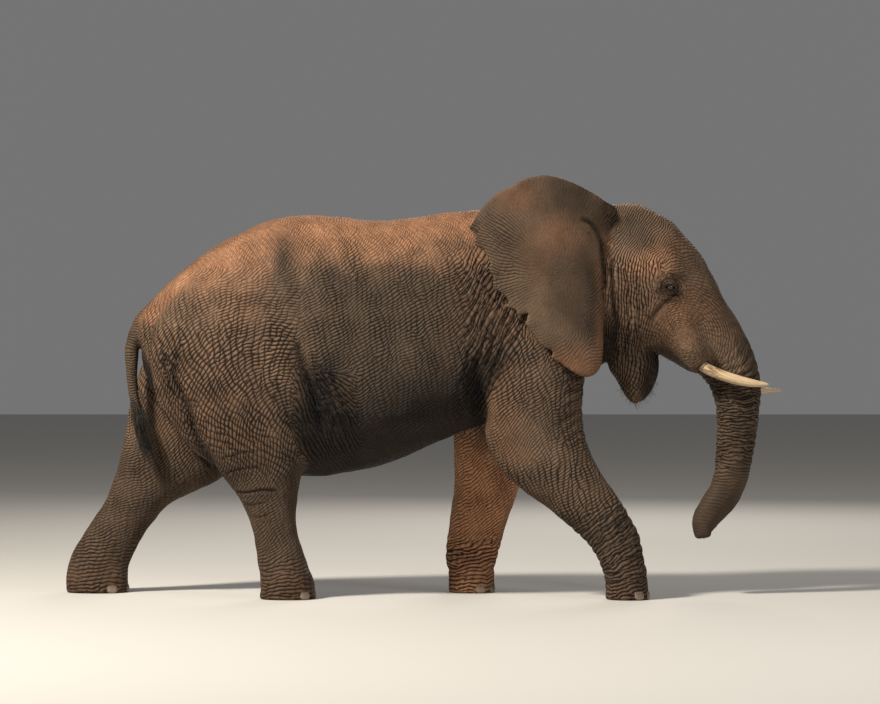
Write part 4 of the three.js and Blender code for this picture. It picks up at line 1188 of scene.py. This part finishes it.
def product(tree, *values):
    """Values multiplied together, from left to right."""
    total = values[0]
    for value in values[1:]:
        total = maths(tree, "MULTIPLY", total, value)
    return total


def line_of(tree, value, slope, start):
    """slope * value + start."""
    return maths(tree, "MULTIPLY_ADD", value, slope, start)


def raised(tree, shader, level):
    """Leads a bump of the given height in metres to the shader."""
    bump = node(tree, "ShaderNodeBump", None, Strength=1.0, Distance=1.0, Height=level)
    tree.links.new(bump.outputs["Normal"], shader.inputs["Normal"])


def stretched(tree, vector, scale):
    """A vector times a scale along each axis."""
    return node(tree, "ShaderNodeVectorMath", dict(operation="MULTIPLY"), i0=vector, i1=scale).outputs[0]


def scaled(tree, colour, share):
    """A colour times a number."""
    return node(tree, "ShaderNodeVectorMath", dict(operation="SCALE"), i0=colour, Scale=share).outputs[0]


def speckle(tree, vector, scale, detail, roughness=0.5):
    """Fractal noise from 0 to 1 at a scale, with the given octaves and roughness."""
    return node(tree, "ShaderNodeTexNoise", None, Vector=vector, Scale=scale, Detail=detail,
                Roughness=roughness).outputs["Fac"]


def pillows(tree, vector, scale, uneven, width):
    """Rounded cells with dark joints between them: 1 - (d / width)^2, where d is the
    distance to the nearest centre of a Voronoi pattern, in cells."""
    cell = node(tree, "ShaderNodeTexVoronoi", dict(feature="F1"), Vector=vector, Scale=scale,
                Randomness=uneven)
    share = maths(tree, "DIVIDE", cell.outputs["Distance"], width)
    return maths(tree, "MAXIMUM", maths(tree, "SUBTRACT", 1.0, product(tree, share, share)), 0.0)


def named(tree, name):
    """A mesh attribute's node."""
    return node(tree, "ShaderNodeAttribute", dict(attribute_name=name))


place_at = node(hide_tree, "ShaderNodeTexCoord").outputs["Object"]
fold_at = node(hide_tree, "ShaderNodeSeparateColor", None, Color=named(hide_tree, "fold").outputs["Color"])
deep_at, crossed_at, net_at = fold_at.outputs[0], fold_at.outputs[1], fold_at.outputs[2]
tone_at = named(hide_tree, "tone").outputs["Color"]
beat_at = named(hide_tree, "beat").outputs["Fac"]
bent_at = named(hide_tree, "bent").outputs["Vector"]


def folds(tree, vector, beat, way):
    """Folds that follow a direction laid over the surface: the phase p of Gabor noise, whose
    waves run along that direction, as sin(pi p)^0.6: sharp creases between rounded backs."""
    wave = node(tree, "ShaderNodeTexGabor", dict(gabor_type="3D"),
                i0=vector, i1=KERNEL, i2=beat, i3=1.0, i5=way)
    back = maths(tree, "SINE", product(tree, wave.outputs["Phase"], math.pi))
    return maths(tree, "POWER", maths(tree, "MAXIMUM", back, 0.0), 0.6)


long_folds = folds(hide_tree, bent_at, beat_at, named(hide_tree, "across").outputs["Vector"])
cross_folds = folds(hide_tree, bent_at, maths(hide_tree, "MULTIPLY", beat_at, CROSS_BEAT),
                    named(hide_tree, "other").outputs["Vector"])
net = pillows(hide_tree, bent_at, 58.0, 0.95, 0.85)
grit = speckle(hide_tree, place_at, 240.0, 1.0, 0.7)
patch = speckle(hide_tree, place_at, 8.0, 2.0, 0.65)
cross_cut = product(hide_tree, maths(hide_tree, "SUBTRACT", 1.0, cross_folds), crossed_at)
bricks = product(hide_tree, long_folds, line_of(hide_tree, cross_cut, -1.0, 1.0))
FOLD_DEPTH, NET_DEPTH, GRIT_DEPTH = 0.0125, 0.0024, 0.0008
level = product(hide_tree, bricks, deep_at, FOLD_DEPTH)
level = line_of(hide_tree, product(hide_tree, net, net_at), NET_DEPTH, level)
level = line_of(hide_tree, grit, GRIT_DEPTH, level)
raised(hide_tree, hide_shader, level)

# Cracks hold no dust and the folds' crowns catch it; the creases and the net's cracks are also darkened as
# painted shade.
CROWN_PALE, CREASE_DARK, NET_DARK, DARKEST = 1.58, 2.6, 0.34, 0.10
crease = maths(hide_tree, "POWER", maths(hide_tree, "SUBTRACT", 1.0, bricks), 1.1)
fold_shade = product(hide_tree, crease, maths(hide_tree, "MINIMUM", deep_at, 1.0))
net_shade = product(hide_tree, maths(hide_tree, "SUBTRACT", 1.0, net), net_at)
shade = product(hide_tree, line_of(hide_tree, fold_shade, -CREASE_DARK, CROWN_PALE),
                line_of(hide_tree, net_shade, -NET_DARK, 1.0), line_of(hide_tree, patch, 0.9, 0.55),
                line_of(hide_tree, grit, 0.7, 0.65))
tinted = scaled(hide_tree, tone_at, maths(hide_tree, "MAXIMUM", shade, DARKEST))
hide_tree.links.new(tinted, hide_shader.inputs["Base Color"])
hide_shader.inputs["Roughness"].default_value = 0.66
hide_shader.inputs["Specular IOR Level"].default_value = 0.18
hide_mesh.materials.append(hide_paint)
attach(hide, "root")
flesh = ["torso", "neck", "head", "jaw", "trunk_upper", "trunk_middle", "trunk_lower", "trunk_tip",
         "ear_right", "ear_left", "tail"]
flesh += [f"{leg}_{length}" for leg in ("foreleg_right", "foreleg_left", "hindleg_right",
                                        "hindleg_left") for length in ("upper", "lower", "foot")]
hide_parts(*flesh)

# ---- Eyes and lashes ---------------------------------------------------------
# Two wet balls behind the lids, amber-brown round the pupil and dusky at the
# corners, and a row of long stiff lashes under the edge of each upper lid.
IRIS_RADIUS, PUPIL_RADIUS, IRIS_RIM = 0.0160, 0.0058, 0.0018
BALL_INSET, CORNEA_SWELL, TONE_EDGE = 0.0015, 0.0020, 0.0008
EYE_WHITE, AMBER = np.array((0.030, 0.018, 0.013)), np.array((0.055, 0.025, 0.010))
EYE_RINGS, EYE_SPOKES = 64, 72
GAZE = (0.0035, -0.0015)


def all_round(count):
    """Angles of evenly spaced spokes all round."""
    return 2 * math.pi * np.arange(count) / count


def wound(rows, columns):
    """Four-sided faces of a closed grid whose columns run round and whose first and last
    rows are single points: the fans at both ends are three-sided."""
    i = np.arange(rows - 1)[:, None]
    j = np.arange(columns)[None, :]
    k = (j + 1) % columns
    here = 1 + i * columns
    quads = np.stack([here + j, here + k, here + columns + k, here + columns + j], 2).reshape(-1, 4)
    first = np.stack([0 * j, 1 + k, 1 + j], 2).reshape(-1, 3)
    base = 1 + (rows - 1) * columns
    last = np.stack([0 * j + base + columns, base + j, base + k], 2).reshape(-1, 3)
    return quads, first, last


def solid(name, points, faces, flip=False):
    """A smooth mesh object of points and a list of face arrays, turned over if asked."""
    mesh = bpy.data.meshes.new(name)
    rows = [row for group in faces for row in (group[:, ::-1] if flip else group).tolist()]
    mesh.from_pydata(points.tolist(), [], rows)
    mesh.polygons.foreach_set("use_smooth", np.ones(len(mesh.polygons), bool))
    return placed(name, mesh)


eye_paint, eye_tree, eye_shader = new_paint("wet_eye")
eye_place = node(eye_tree, "ShaderNodeTexCoord").outputs["Object"]
veins = speckle(eye_tree, eye_place, 420.0, 3.0)
veined = scaled(eye_tree, named(eye_tree, "eye_tone").outputs["Color"],
                line_of(eye_tree, veins, 0.8, 0.6))
eye_tree.links.new(veined, eye_shader.inputs["Base Color"])
eye_shader.inputs["Roughness"].default_value = 0.06
eye_shader.inputs["Coat Weight"].default_value = 1.0
eye_shader.inputs["Coat Roughness"].default_value = 0.02

for hand, sign in (("right", -1), ("left", 1)):
    polar = math.pi * (np.arange(1, EYE_RINGS) / EYE_RINGS)[:, None] ** 1.3
    turn = all_round(EYE_SPOKES)[None, :]
    # A ball whose pole faces outwards, swollen by up to 2 mm over the iris.
    swell = np.exp(-(EYE_RADIUS * np.sin(polar) / (0.8 * IRIS_RADIUS)) ** 2) * (polar < 1.5)
    reach = EYE_RADIUS - BALL_INSET + CORNEA_SWELL * swell
    shell = np.stack(np.broadcast_arrays(reach * np.sin(polar) * np.cos(turn),
                                         sign * reach * np.cos(polar),
                                         reach * np.sin(polar) * np.sin(turn)), 2).reshape(-1, 3)
    poles = np.array([(0, sign * (EYE_RADIUS - BALL_INSET + CORNEA_SWELL), 0),
                      (0, -sign * (EYE_RADIUS - BALL_INSET), 0)])
    ball = np.vstack([poles[:1], shell, poles[1:]])
    side_x, side_z = ball[:, 0] - GAZE[0], ball[:, 2] - GAZE[1]
    out = np.hypot(side_x, side_z)
    angle = np.arctan2(side_z, side_x)
    fibre = 0.5 + 0.25 * np.sin(23 * angle + 1.3 * sign) + 0.25 * np.sin(41 * angle + 2.0)
    pupil, iris = [ease(-edge - TONE_EDGE, -edge + TONE_EDGE, -away) for edge, away in
                   ((PUPIL_RADIUS, np.hypot(side_x, 1.25 * side_z)), (IRIS_RADIUS, out))]
    rim = np.exp(-((out - IRIS_RADIUS) / IRIS_RIM) ** 2)
    eye_tone = EYE_WHITE + iris[:, None] * (AMBER * (0.45 + 0.75 * fibre)[:, None] - EYE_WHITE)
    eye_tone *= ((1 - 0.8 * rim) * (1 - 0.97 * pupil))[:, None]
    ball += np.array((EYE_PLACE[0], sign * EYE_PLACE[1], EYE_PLACE[2]))
    quads, first, last = wound(EYE_RINGS - 1, EYE_SPOKES)
    eye = solid(f"eye_{hand}_ball", ball, [quads, first, last], flip=sign < 0)
    write(eye.data, "eye_tone", "FLOAT_COLOR", np.column_stack([eye_tone, np.ones(len(ball))]))
    eye.data.materials.append(eye_paint)
    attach(eye, "root")
    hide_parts(f"eye_{hand}")


def blended(tree, share, first, second):
    """A colour that goes from the first to the second as the share goes from 0 to 1."""
    return node(tree, "ShaderNodeMix", dict(data_type="RGBA"), i0=share, i6=first, i7=second).outputs[2]


hair_paint, hair_tree, hair_shader = new_paint("coarse_bristle")
hair_place = node(hair_tree, "ShaderNodeTexCoord").outputs["Object"]
hair_shift = speckle(hair_tree, hair_place, 35.0, 3.0)
hair_ramp = blended(hair_tree, hair_shift, (0.006, 0.005, 0.004, 1), (0.030, 0.021, 0.015, 1))
hair_tree.links.new(hair_ramp, hair_shader.inputs["Base Color"])
hair_shader.inputs["Roughness"].default_value = 0.62
HAIR_STATIONS, HAIR_PATCH = 6, 0.003


def bristles(name, roots, ways, lengths, radii, droop, map_places, seed):
    """Bristles as three-sided tapering rods, closed at the root and drawn to a point: the
    middle line is root + way t L + droop L t^2 downwards, with a small bow of its own, and
    the radius is r (1 - t)^0.7. Each has its own 3 mm patch on the map OFBake."""
    count = len(roots)
    draw = np.random.default_rng(seed)
    ways = unit(ways)
    t = np.linspace(0, 1, HAIR_STATIONS)[None, :, None]
    bow = draw.normal(0, 0.06, (count, 1, 3)) * np.sin(math.pi * t)
    length = lengths[:, None, None]
    line = roots[:, None, :] + length * (ways[:, None, :] * t + bow)
    line = line + np.array((0, 0, -1.0)) * droop * length * t ** 2
    side_way = unit(np.cross(ways, draw.normal(size=(count, 3))))
    other_way = np.cross(ways, side_way)
    turn = all_round(3)
    ring = (np.cos(turn)[None, None, :, None] * side_way[:, None, None, :]
            + np.sin(turn)[None, None, :, None] * other_way[:, None, None, :])
    wide = radii[:, None, None, None] * (1 - t[..., None] * 0.999) ** 0.7
    body = (line[:, :-1, None, :] + wide[:, :-1] * ring).reshape(count, -1, 3)
    points = np.concatenate([body, line[:, -1:, :]], 1)
    per = points.shape[1]
    i = np.arange(HAIR_STATIONS - 2)[:, None] * 3
    j = np.arange(3)[None, :]
    k = (j + 1) % 3
    quads = np.stack([i + j, i + k, i + 3 + k, i + 3 + j], 2).reshape(-1, 4)
    end = 3 * (HAIR_STATIONS - 2)
    tip = np.stack([end + j[0], end + k[0], np.full(3, per - 1)], 1)
    start = np.array([[0, 2, 1]])
    shift = (np.arange(count) * per)[:, None, None]
    faces = [(group[None] + shift).reshape(-1, group.shape[1]) for group in (quads, tip, start)]
    piece = solid(name, points.reshape(-1, 3), faces)
    along = np.concatenate([np.repeat(t[0, :-1, 0], 3), [1.0]])
    beside = np.concatenate([np.tile(np.arange(3) / 2, HAIR_STATIONS - 1), [0.5]])
    patch_uv = HAIR_PATCH * (np.stack([along, beside], 1) - 0.5)
    uv = (map_places[:, None, :] + patch_uv[None]).reshape(-1, 2)
    corners = np.zeros(len(piece.data.loops), np.int32)
    piece.data.loops.foreach_get("vertex_index", corners)
    layer = piece.data.uv_layers.new(name="OFBake")
    layer.data.foreach_set("uv", uv[corners].astype(np.float32).ravel())
    piece.data.materials.append(hair_paint)
    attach(piece, "root")
    return piece


LASHES, LASH_RADIUS = 34, 0.0006
lash_draw = np.random.default_rng(31)
for hand, sign in (("right", -1), ("left", 1)):
    # Roots along the upper lid's arc, just under its edge.
    share_along = np.linspace(-0.86, 0.90, LASHES) + lash_draw.normal(0, 0.012, LASHES)
    along = share_along * EYE_HALF_LENGTH
    rise = UPPER_LID_RISE * (1 - share_along ** 2) + 0.0020
    flat = np.hypot(along, rise)
    outward = np.sqrt((EYE_RADIUS + 0.5 * LID_THICK) ** 2 - flat ** 2)
    roots = np.stack([EYE_PLACE[0] + along * math.cos(EYE_TILT) - rise * math.sin(EYE_TILT),
                      sign * (EYE_PLACE[1] + outward),
                      EYE_PLACE[2] + rise * math.cos(EYE_TILT) + along * math.sin(EYE_TILT)], 1)
    ways = np.stack([0.30 + 0.9 * share_along + lash_draw.normal(0, 0.12, LASHES),
                     sign * (1.0 + lash_draw.normal(0, 0.1, LASHES)),
                     -0.42 + lash_draw.normal(0, 0.12, LASHES)], 1)
    lengths = lash_draw.uniform(0.026, 0.044, LASHES)
    places = np.stack([0.5 + 0.2 * sign + 0.06 * share_along, np.full(LASHES, 0.8)], 1)
    bristles(f"lashes_{hand}", roots, ways, lengths, np.full(LASHES, LASH_RADIUS), 0.25, places,
             40 + sign)

# ---- Tusks -------------------------------------------------------------------
# Ivory, worn smooth and pale at the points, stained brown and finely cracked along
# its length towards the lip. Each is a round bar swept along its curve.
TUSK_AROUND, TUSK_ALONG = 48, 20
POINT_ROUND, HEEL_ROUND = 0.022, 0.010


def eased(tree, value, low, high, first=0.0, last=1.0):
    """A value eased from first to last as it goes from low to high."""
    return node(tree, "ShaderNodeMapRange", dict(interpolation_type="SMOOTHSTEP"), Value=value,
                From_Min=low, From_Max=high, To_Min=first, To_Max=last).outputs["Result"]


ivory, ivory_tree, ivory_shader = new_paint("ivory")
straight_at = named(ivory_tree, "straight").outputs["Vector"]
grain_at = stretched(ivory_tree, straight_at, (1.0, 1.0, 0.10))
blotch_at = stretched(ivory_tree, straight_at, (1.0, 1.0, 0.35))
wear = named(ivory_tree, "wear").outputs["Fac"]
streaks = speckle(ivory_tree, grain_at, 95.0, 4.0, 0.6)
cracks = node(ivory_tree, "ShaderNodeTexVoronoi", dict(feature="DISTANCE_TO_EDGE"), Vector=grain_at,
              Scale=62.0, Randomness=1.0).outputs["Distance"]
crack = eased(ivory_tree, cracks, 0.0, 0.055, 1.0, 0.0)
blotch = speckle(ivory_tree, blotch_at, 34.0, 4.0, 0.65)
stain = product(ivory_tree, eased(ivory_tree, blotch, 0.42, 0.60), wear, 0.80)
base_tone = blended(ivory_tree, streaks, (0.40, 0.27, 0.14, 1), (0.72, 0.57, 0.36, 1))
stained = blended(ivory_tree, stain, base_tone, (0.13, 0.060, 0.026, 1))
crack_share = product(ivory_tree, crack, line_of(ivory_tree, wear, 0.7, 0.08))
cracked = blended(ivory_tree, crack_share, stained, (0.075, 0.038, 0.020, 1))
ivory_tree.links.new(cracked, ivory_shader.inputs["Base Color"])
IVORY_CRACK_DEPTH, IVORY_GRAIN_DEPTH = 0.0009, 0.0005
raised(ivory_tree, ivory_shader, line_of(ivory_tree, crack, -IVORY_CRACK_DEPTH,
                                         product(ivory_tree, streaks, IVORY_GRAIN_DEPTH)))
ivory_shader.inputs["Roughness"].default_value = 0.42
for hand, sign, beads in (("right", -1, TUSK_RIGHT_BEADS), ("left", 1, TUSK_LEFT_BEADS)):
    curve = through(np.array(beads) * MM, TUSK_ALONG)
    curve[:, 1] *= sign
    line, radius = curve[:, :3], curve[:, 3].copy()
    run = lengths_along(line)
    total_run = run[-1]
    # The point is rounded over its last 22 mm, and the root end over its first 10 mm.
    nose = np.clip((total_run - run) / POINT_ROUND, 0, 1)
    heel = np.clip(run / HEEL_ROUND, 0, 1)
    radius = np.maximum(radius, 0.006) * np.sqrt(1 - (1 - nose) ** 2) * np.sqrt(1 - (1 - heel) ** 2)
    onward = unit(np.gradient(line, axis=0))
    level_side = unit(np.cross(onward, np.array((0, 0, 1.0))))
    over = np.cross(level_side, onward)
    turn = all_round(TUSK_AROUND)
    uneven = (1 + 0.018 * np.sin(2 * turn + 0.7)[None, :]
              + 0.010 * np.sin(9 * run[:, None] / 0.1 + turn[None, :]))
    wide = radius[:, None] * uneven
    shell = (line[:, None, :] + wide[..., None] * (np.cos(turn)[None, :, None] * level_side[:, None, :]
             + np.sin(turn)[None, :, None] * over[:, None, :]))[1:-1]
    points = np.vstack([line[:1], shell.reshape(-1, 3), line[-1:]])
    quads, first, last = wound(len(line) - 2, TUSK_AROUND)
    tusk = solid(f"tusk_{hand}_ivory", points, [quads, first, last], flip=True)
    rolled = np.stack(np.broadcast_arrays(wide * np.cos(turn), wide * np.sin(turn), run[:, None]), 2)
    rolled = np.vstack([[(0, 0, 0)], rolled[1:-1].reshape(-1, 3), [(0, 0, total_run)]])
    write(tusk.data, "straight", "FLOAT_VECTOR", rolled + 3.0 * sign)
    shown = rolled[:, 2] / total_run
    upper_side = rolled[:, 1] / 0.033
    wear_at = np.clip(1.0 - ease(0.42, 0.66, shown), 0, 1) * (0.75 + 0.25 * upper_side) + 0.12
    write(tusk.data, "wear", "FLOAT", np.clip(wear_at, 0, 1))
    tusk.data.materials.append(ivory)
    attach(tusk, "root")
    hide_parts(f"tusk_{hand}")

# ---- Toenails ----------------------------------------------------------------
# Blunt horn plates set into the front and sides of each round foot, four on a
# forefoot and three on a hind foot, pale at the worn edge and ridged upright.
NAIL_WIDTH, NAIL_HEIGHT, NAIL_DEPTH = 0.070, 0.058, 0.024
NAIL_LEVEL, NAIL_INSET = 0.031, 0.006
FORE_NAIL_ANGLES = (-66, -24, 18, 60)
HIND_NAIL_ANGLES = (-48, -2, 44)
NAIL_RINGS, NAIL_SPOKES = 14, 28
nail_places, nail_ways = [], []
for leg, angles in zip(LEGS, (FORE_NAIL_ANGLES, FORE_NAIL_ANGLES, HIND_NAIL_ANGLES, HIND_NAIL_ANGLES)):
    # The ring about 30 mm above the sole.
    ring = leg["table"][-4]
    for degrees in angles:
        sign = -1 if ring[MIDDLE_Y] < 0 else 1
        c, n = math.cos(math.radians(degrees)), sign * math.sin(math.radians(degrees))
        out = (abs(c / ring[TALL]) ** LEG_ROUNDNESS
               + abs(n / ring[WIDE]) ** LEG_ROUNDNESS) ** (-1 / LEG_ROUNDNESS)
        nail_places.append((ring[X] + c * out, ring[MIDDLE_Y] + n * out))
        nail_ways.append((c / ring[TALL] ** 2, n / ring[WIDE] ** 2))
nail_places, nail_ways = np.array(nail_places), unit(np.array(nail_ways))
polar = math.pi * (np.arange(1, NAIL_RINGS) / NAIL_RINGS)[:, None]
turn = all_round(NAIL_SPOKES)[None, :]


def squared(value, power):
    """A value's power with its sign kept, which squares off a round form."""
    return np.sign(value) * np.abs(value) ** power


# A box-like egg: across cos^0.7, up sin^0.7, and outwards a plain half ellipse.
beside = squared(np.cos(turn), 0.72) * np.sin(polar) ** 0.8 * NAIL_WIDTH / 2
upright = squared(np.sin(turn), 0.72) * np.sin(polar) ** 0.8 * NAIL_HEIGHT / 2
proud = np.cos(polar) * NAIL_DEPTH / 2 * (1 + 0.06 * np.sin(9 * turn) * np.sin(polar))
local = np.stack(np.broadcast_arrays(beside, upright, proud), 2).reshape(-1, 3)
local = np.vstack([[(0, 0, NAIL_DEPTH / 2)], local, [(0, 0, -NAIL_DEPTH / 2)]])
leaning = 0.16 * local[:, 1]
ways3 = np.column_stack([nail_ways, np.zeros(len(nail_ways))])
sides3 = np.column_stack([-nail_ways[:, 1], nail_ways[:, 0], np.zeros(len(nail_ways))])
centres = np.column_stack([nail_places - NAIL_INSET * nail_ways, np.full(len(nail_ways), NAIL_LEVEL)])
nails = (centres[:, None, :] + local[None, :, 0:1] * sides3[:, None, :]
         + (local[:, 2] - leaning)[None, :, None] * ways3[:, None, :])
nails[:, :, 2] += local[None, :, 1]
quads, first, last = wound(NAIL_RINGS - 1, NAIL_SPOKES)
shift = (np.arange(len(nails)) * len(local))[:, None, None]
nail_faces = [(group[None] + shift).reshape(-1, group.shape[1]) for group in (quads, first, last)]
toenails = solid("toenails", np.maximum(nails.reshape(-1, 3), (-9, -9, 0.0015)), nail_faces, flip=True)
horn, horn_tree, horn_shader = new_paint("horn")
horn_place = node(horn_tree, "ShaderNodeTexCoord").outputs["Object"]
horn_streaks = speckle(horn_tree, stretched(horn_tree, horn_place, (1.0, 1.0, 0.18)), 150.0, 4.0, 0.6)
horn_level = node(horn_tree, "ShaderNodeSeparateXYZ", None, Vector=horn_place).outputs[2]
horn_edge = eased(horn_tree, horn_level, 0.004, 0.05, 1.0, 0.0)
horn_tone = blended(horn_tree, horn_edge, (0.115, 0.080, 0.055, 1), (0.25, 0.19, 0.135, 1))
horn_dull = scaled(horn_tree, horn_tone, line_of(horn_tree, horn_streaks, 1.0, 0.5))
horn_tree.links.new(horn_dull, horn_shader.inputs["Base Color"])
HORN_RIDGE_DEPTH = 0.0022
raised(horn_tree, horn_shader, product(horn_tree, horn_streaks, HORN_RIDGE_DEPTH))
horn_shader.inputs["Roughness"].default_value = 0.62
toenails.data.materials.append(horn)
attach(toenails, "root")

# ---- Tail tuft and bristles ---------------------------------------------------
# Wiry black bristles that hang from the tail's end, a short fringe of them on the
# chin, and sparse stiff hairs along the crown, the lower lip and the trunk's tip.
TUFT_HAIRS = 320
tuft_draw = np.random.default_rng(51)
tail_line = through(np.array(TAIL_BEADS) * MM, 3 * STEPS)
down_tail = 1 - (1 - tuft_draw.power(2.0, TUFT_HAIRS)) * 0.30
rows = down_tail * (len(tail_line) - 1)
tail_at = np.stack([np.interp(rows, np.arange(len(tail_line)), tail_line[:, c]) for c in range(4)], 1)
round_tail = tuft_draw.uniform(0, 2 * math.pi, TUFT_HAIRS)
facing_out = np.stack([np.cos(round_tail), np.sin(round_tail), 0 * round_tail], 1)
tuft_roots = tail_at[:, :3] + facing_out * (tail_at[:, 3] * 0.75)[:, None]
tuft_ways = np.stack([0.245 + 0.05 * np.cos(round_tail), 0.05 * np.sin(round_tail),
                      np.full(TUFT_HAIRS, -1.0)], 1)
tuft_ways += tuft_draw.normal(0, 0.024, (TUFT_HAIRS, 3))
TUFT_END, TUFT_RADIUS = 0.765, 0.0018
reach_down = tuft_roots[:, 2] - TUFT_END
tuft_lengths = reach_down * tuft_draw.uniform(0.45, 0.96, TUFT_HAIRS)
tuft_places = np.stack([0.1 + 0.08 * round_tail / (2 * math.pi), 0.2 + 0.3 * down_tail], 1)
tuft = bristles("tail_bristles", tuft_roots, tuft_ways, tuft_lengths,
                np.full(TUFT_HAIRS, TUFT_RADIUS), 0.02, tuft_places, 52)
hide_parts("tail_tuft")

chin_draw = np.random.default_rng(61)
root_x, root_y, root_z = spots[:, 0], np.abs(spots[:, 1]), spots[:, 2]
chin_mask = (root_x > 1.24) & (root_x < 1.50) & (root_z < 1.36) & (root_y < 0.12) & (root_z > 1.15)
lip_mask = (root_x > 1.46) & (root_x < 1.72) & (root_z < 1.56) & (root_z > 1.36) & (facing[:, 2] < -0.1)
crown_mask = (root_x > 1.30) & (root_x < 1.75) & (root_z > 2.28) & (facing[:, 2] > 0.45) & (root_y < 0.2)
tip_mask = (root_x > 1.6) & (root_z < 0.56)
# Name, where they grow, how many, longest, which way they lean, and radius.
for label, mask, many, longest, lean, thick in (
        ("chin", chin_mask, 190, 0.055, (0.35, 0, -0.55), 0.00085),
        ("lip", lip_mask, 90, 0.032, (0.3, 0, -0.5), 0.0006),
        ("crown", crown_mask, 150, 0.024, (-0.3, 0, 0.1), 0.0006),
        ("trunk", tip_mask, 140, 0.018, (0.1, 0, -0.3), 0.0006)):
    chosen = chin_draw.choice(np.nonzero(mask)[0], min(many, int(mask.sum())), replace=False)
    base = spots[chosen] - 0.003 * facing[chosen]
    ways = facing[chosen] + np.array(lean) + chin_draw.normal(0, 0.22, (len(chosen), 3))
    lengths = longest * chin_draw.uniform(0.35, 1.0, len(chosen))
    limb_name = "jaw" if label == "chin" else "head"
    at, up, out_y = place[limb_name][chosen, :3].T
    places = np.stack([0.3 + 0.02 * at, 0.5 + 0.08 * np.arctan2(out_y, up)], 1)
    bristles(f"{label}_bristles", base, ways, lengths, np.full(len(chosen), thick), 0.12,
             np.clip(places, 0.01, 0.99), 70 + many)
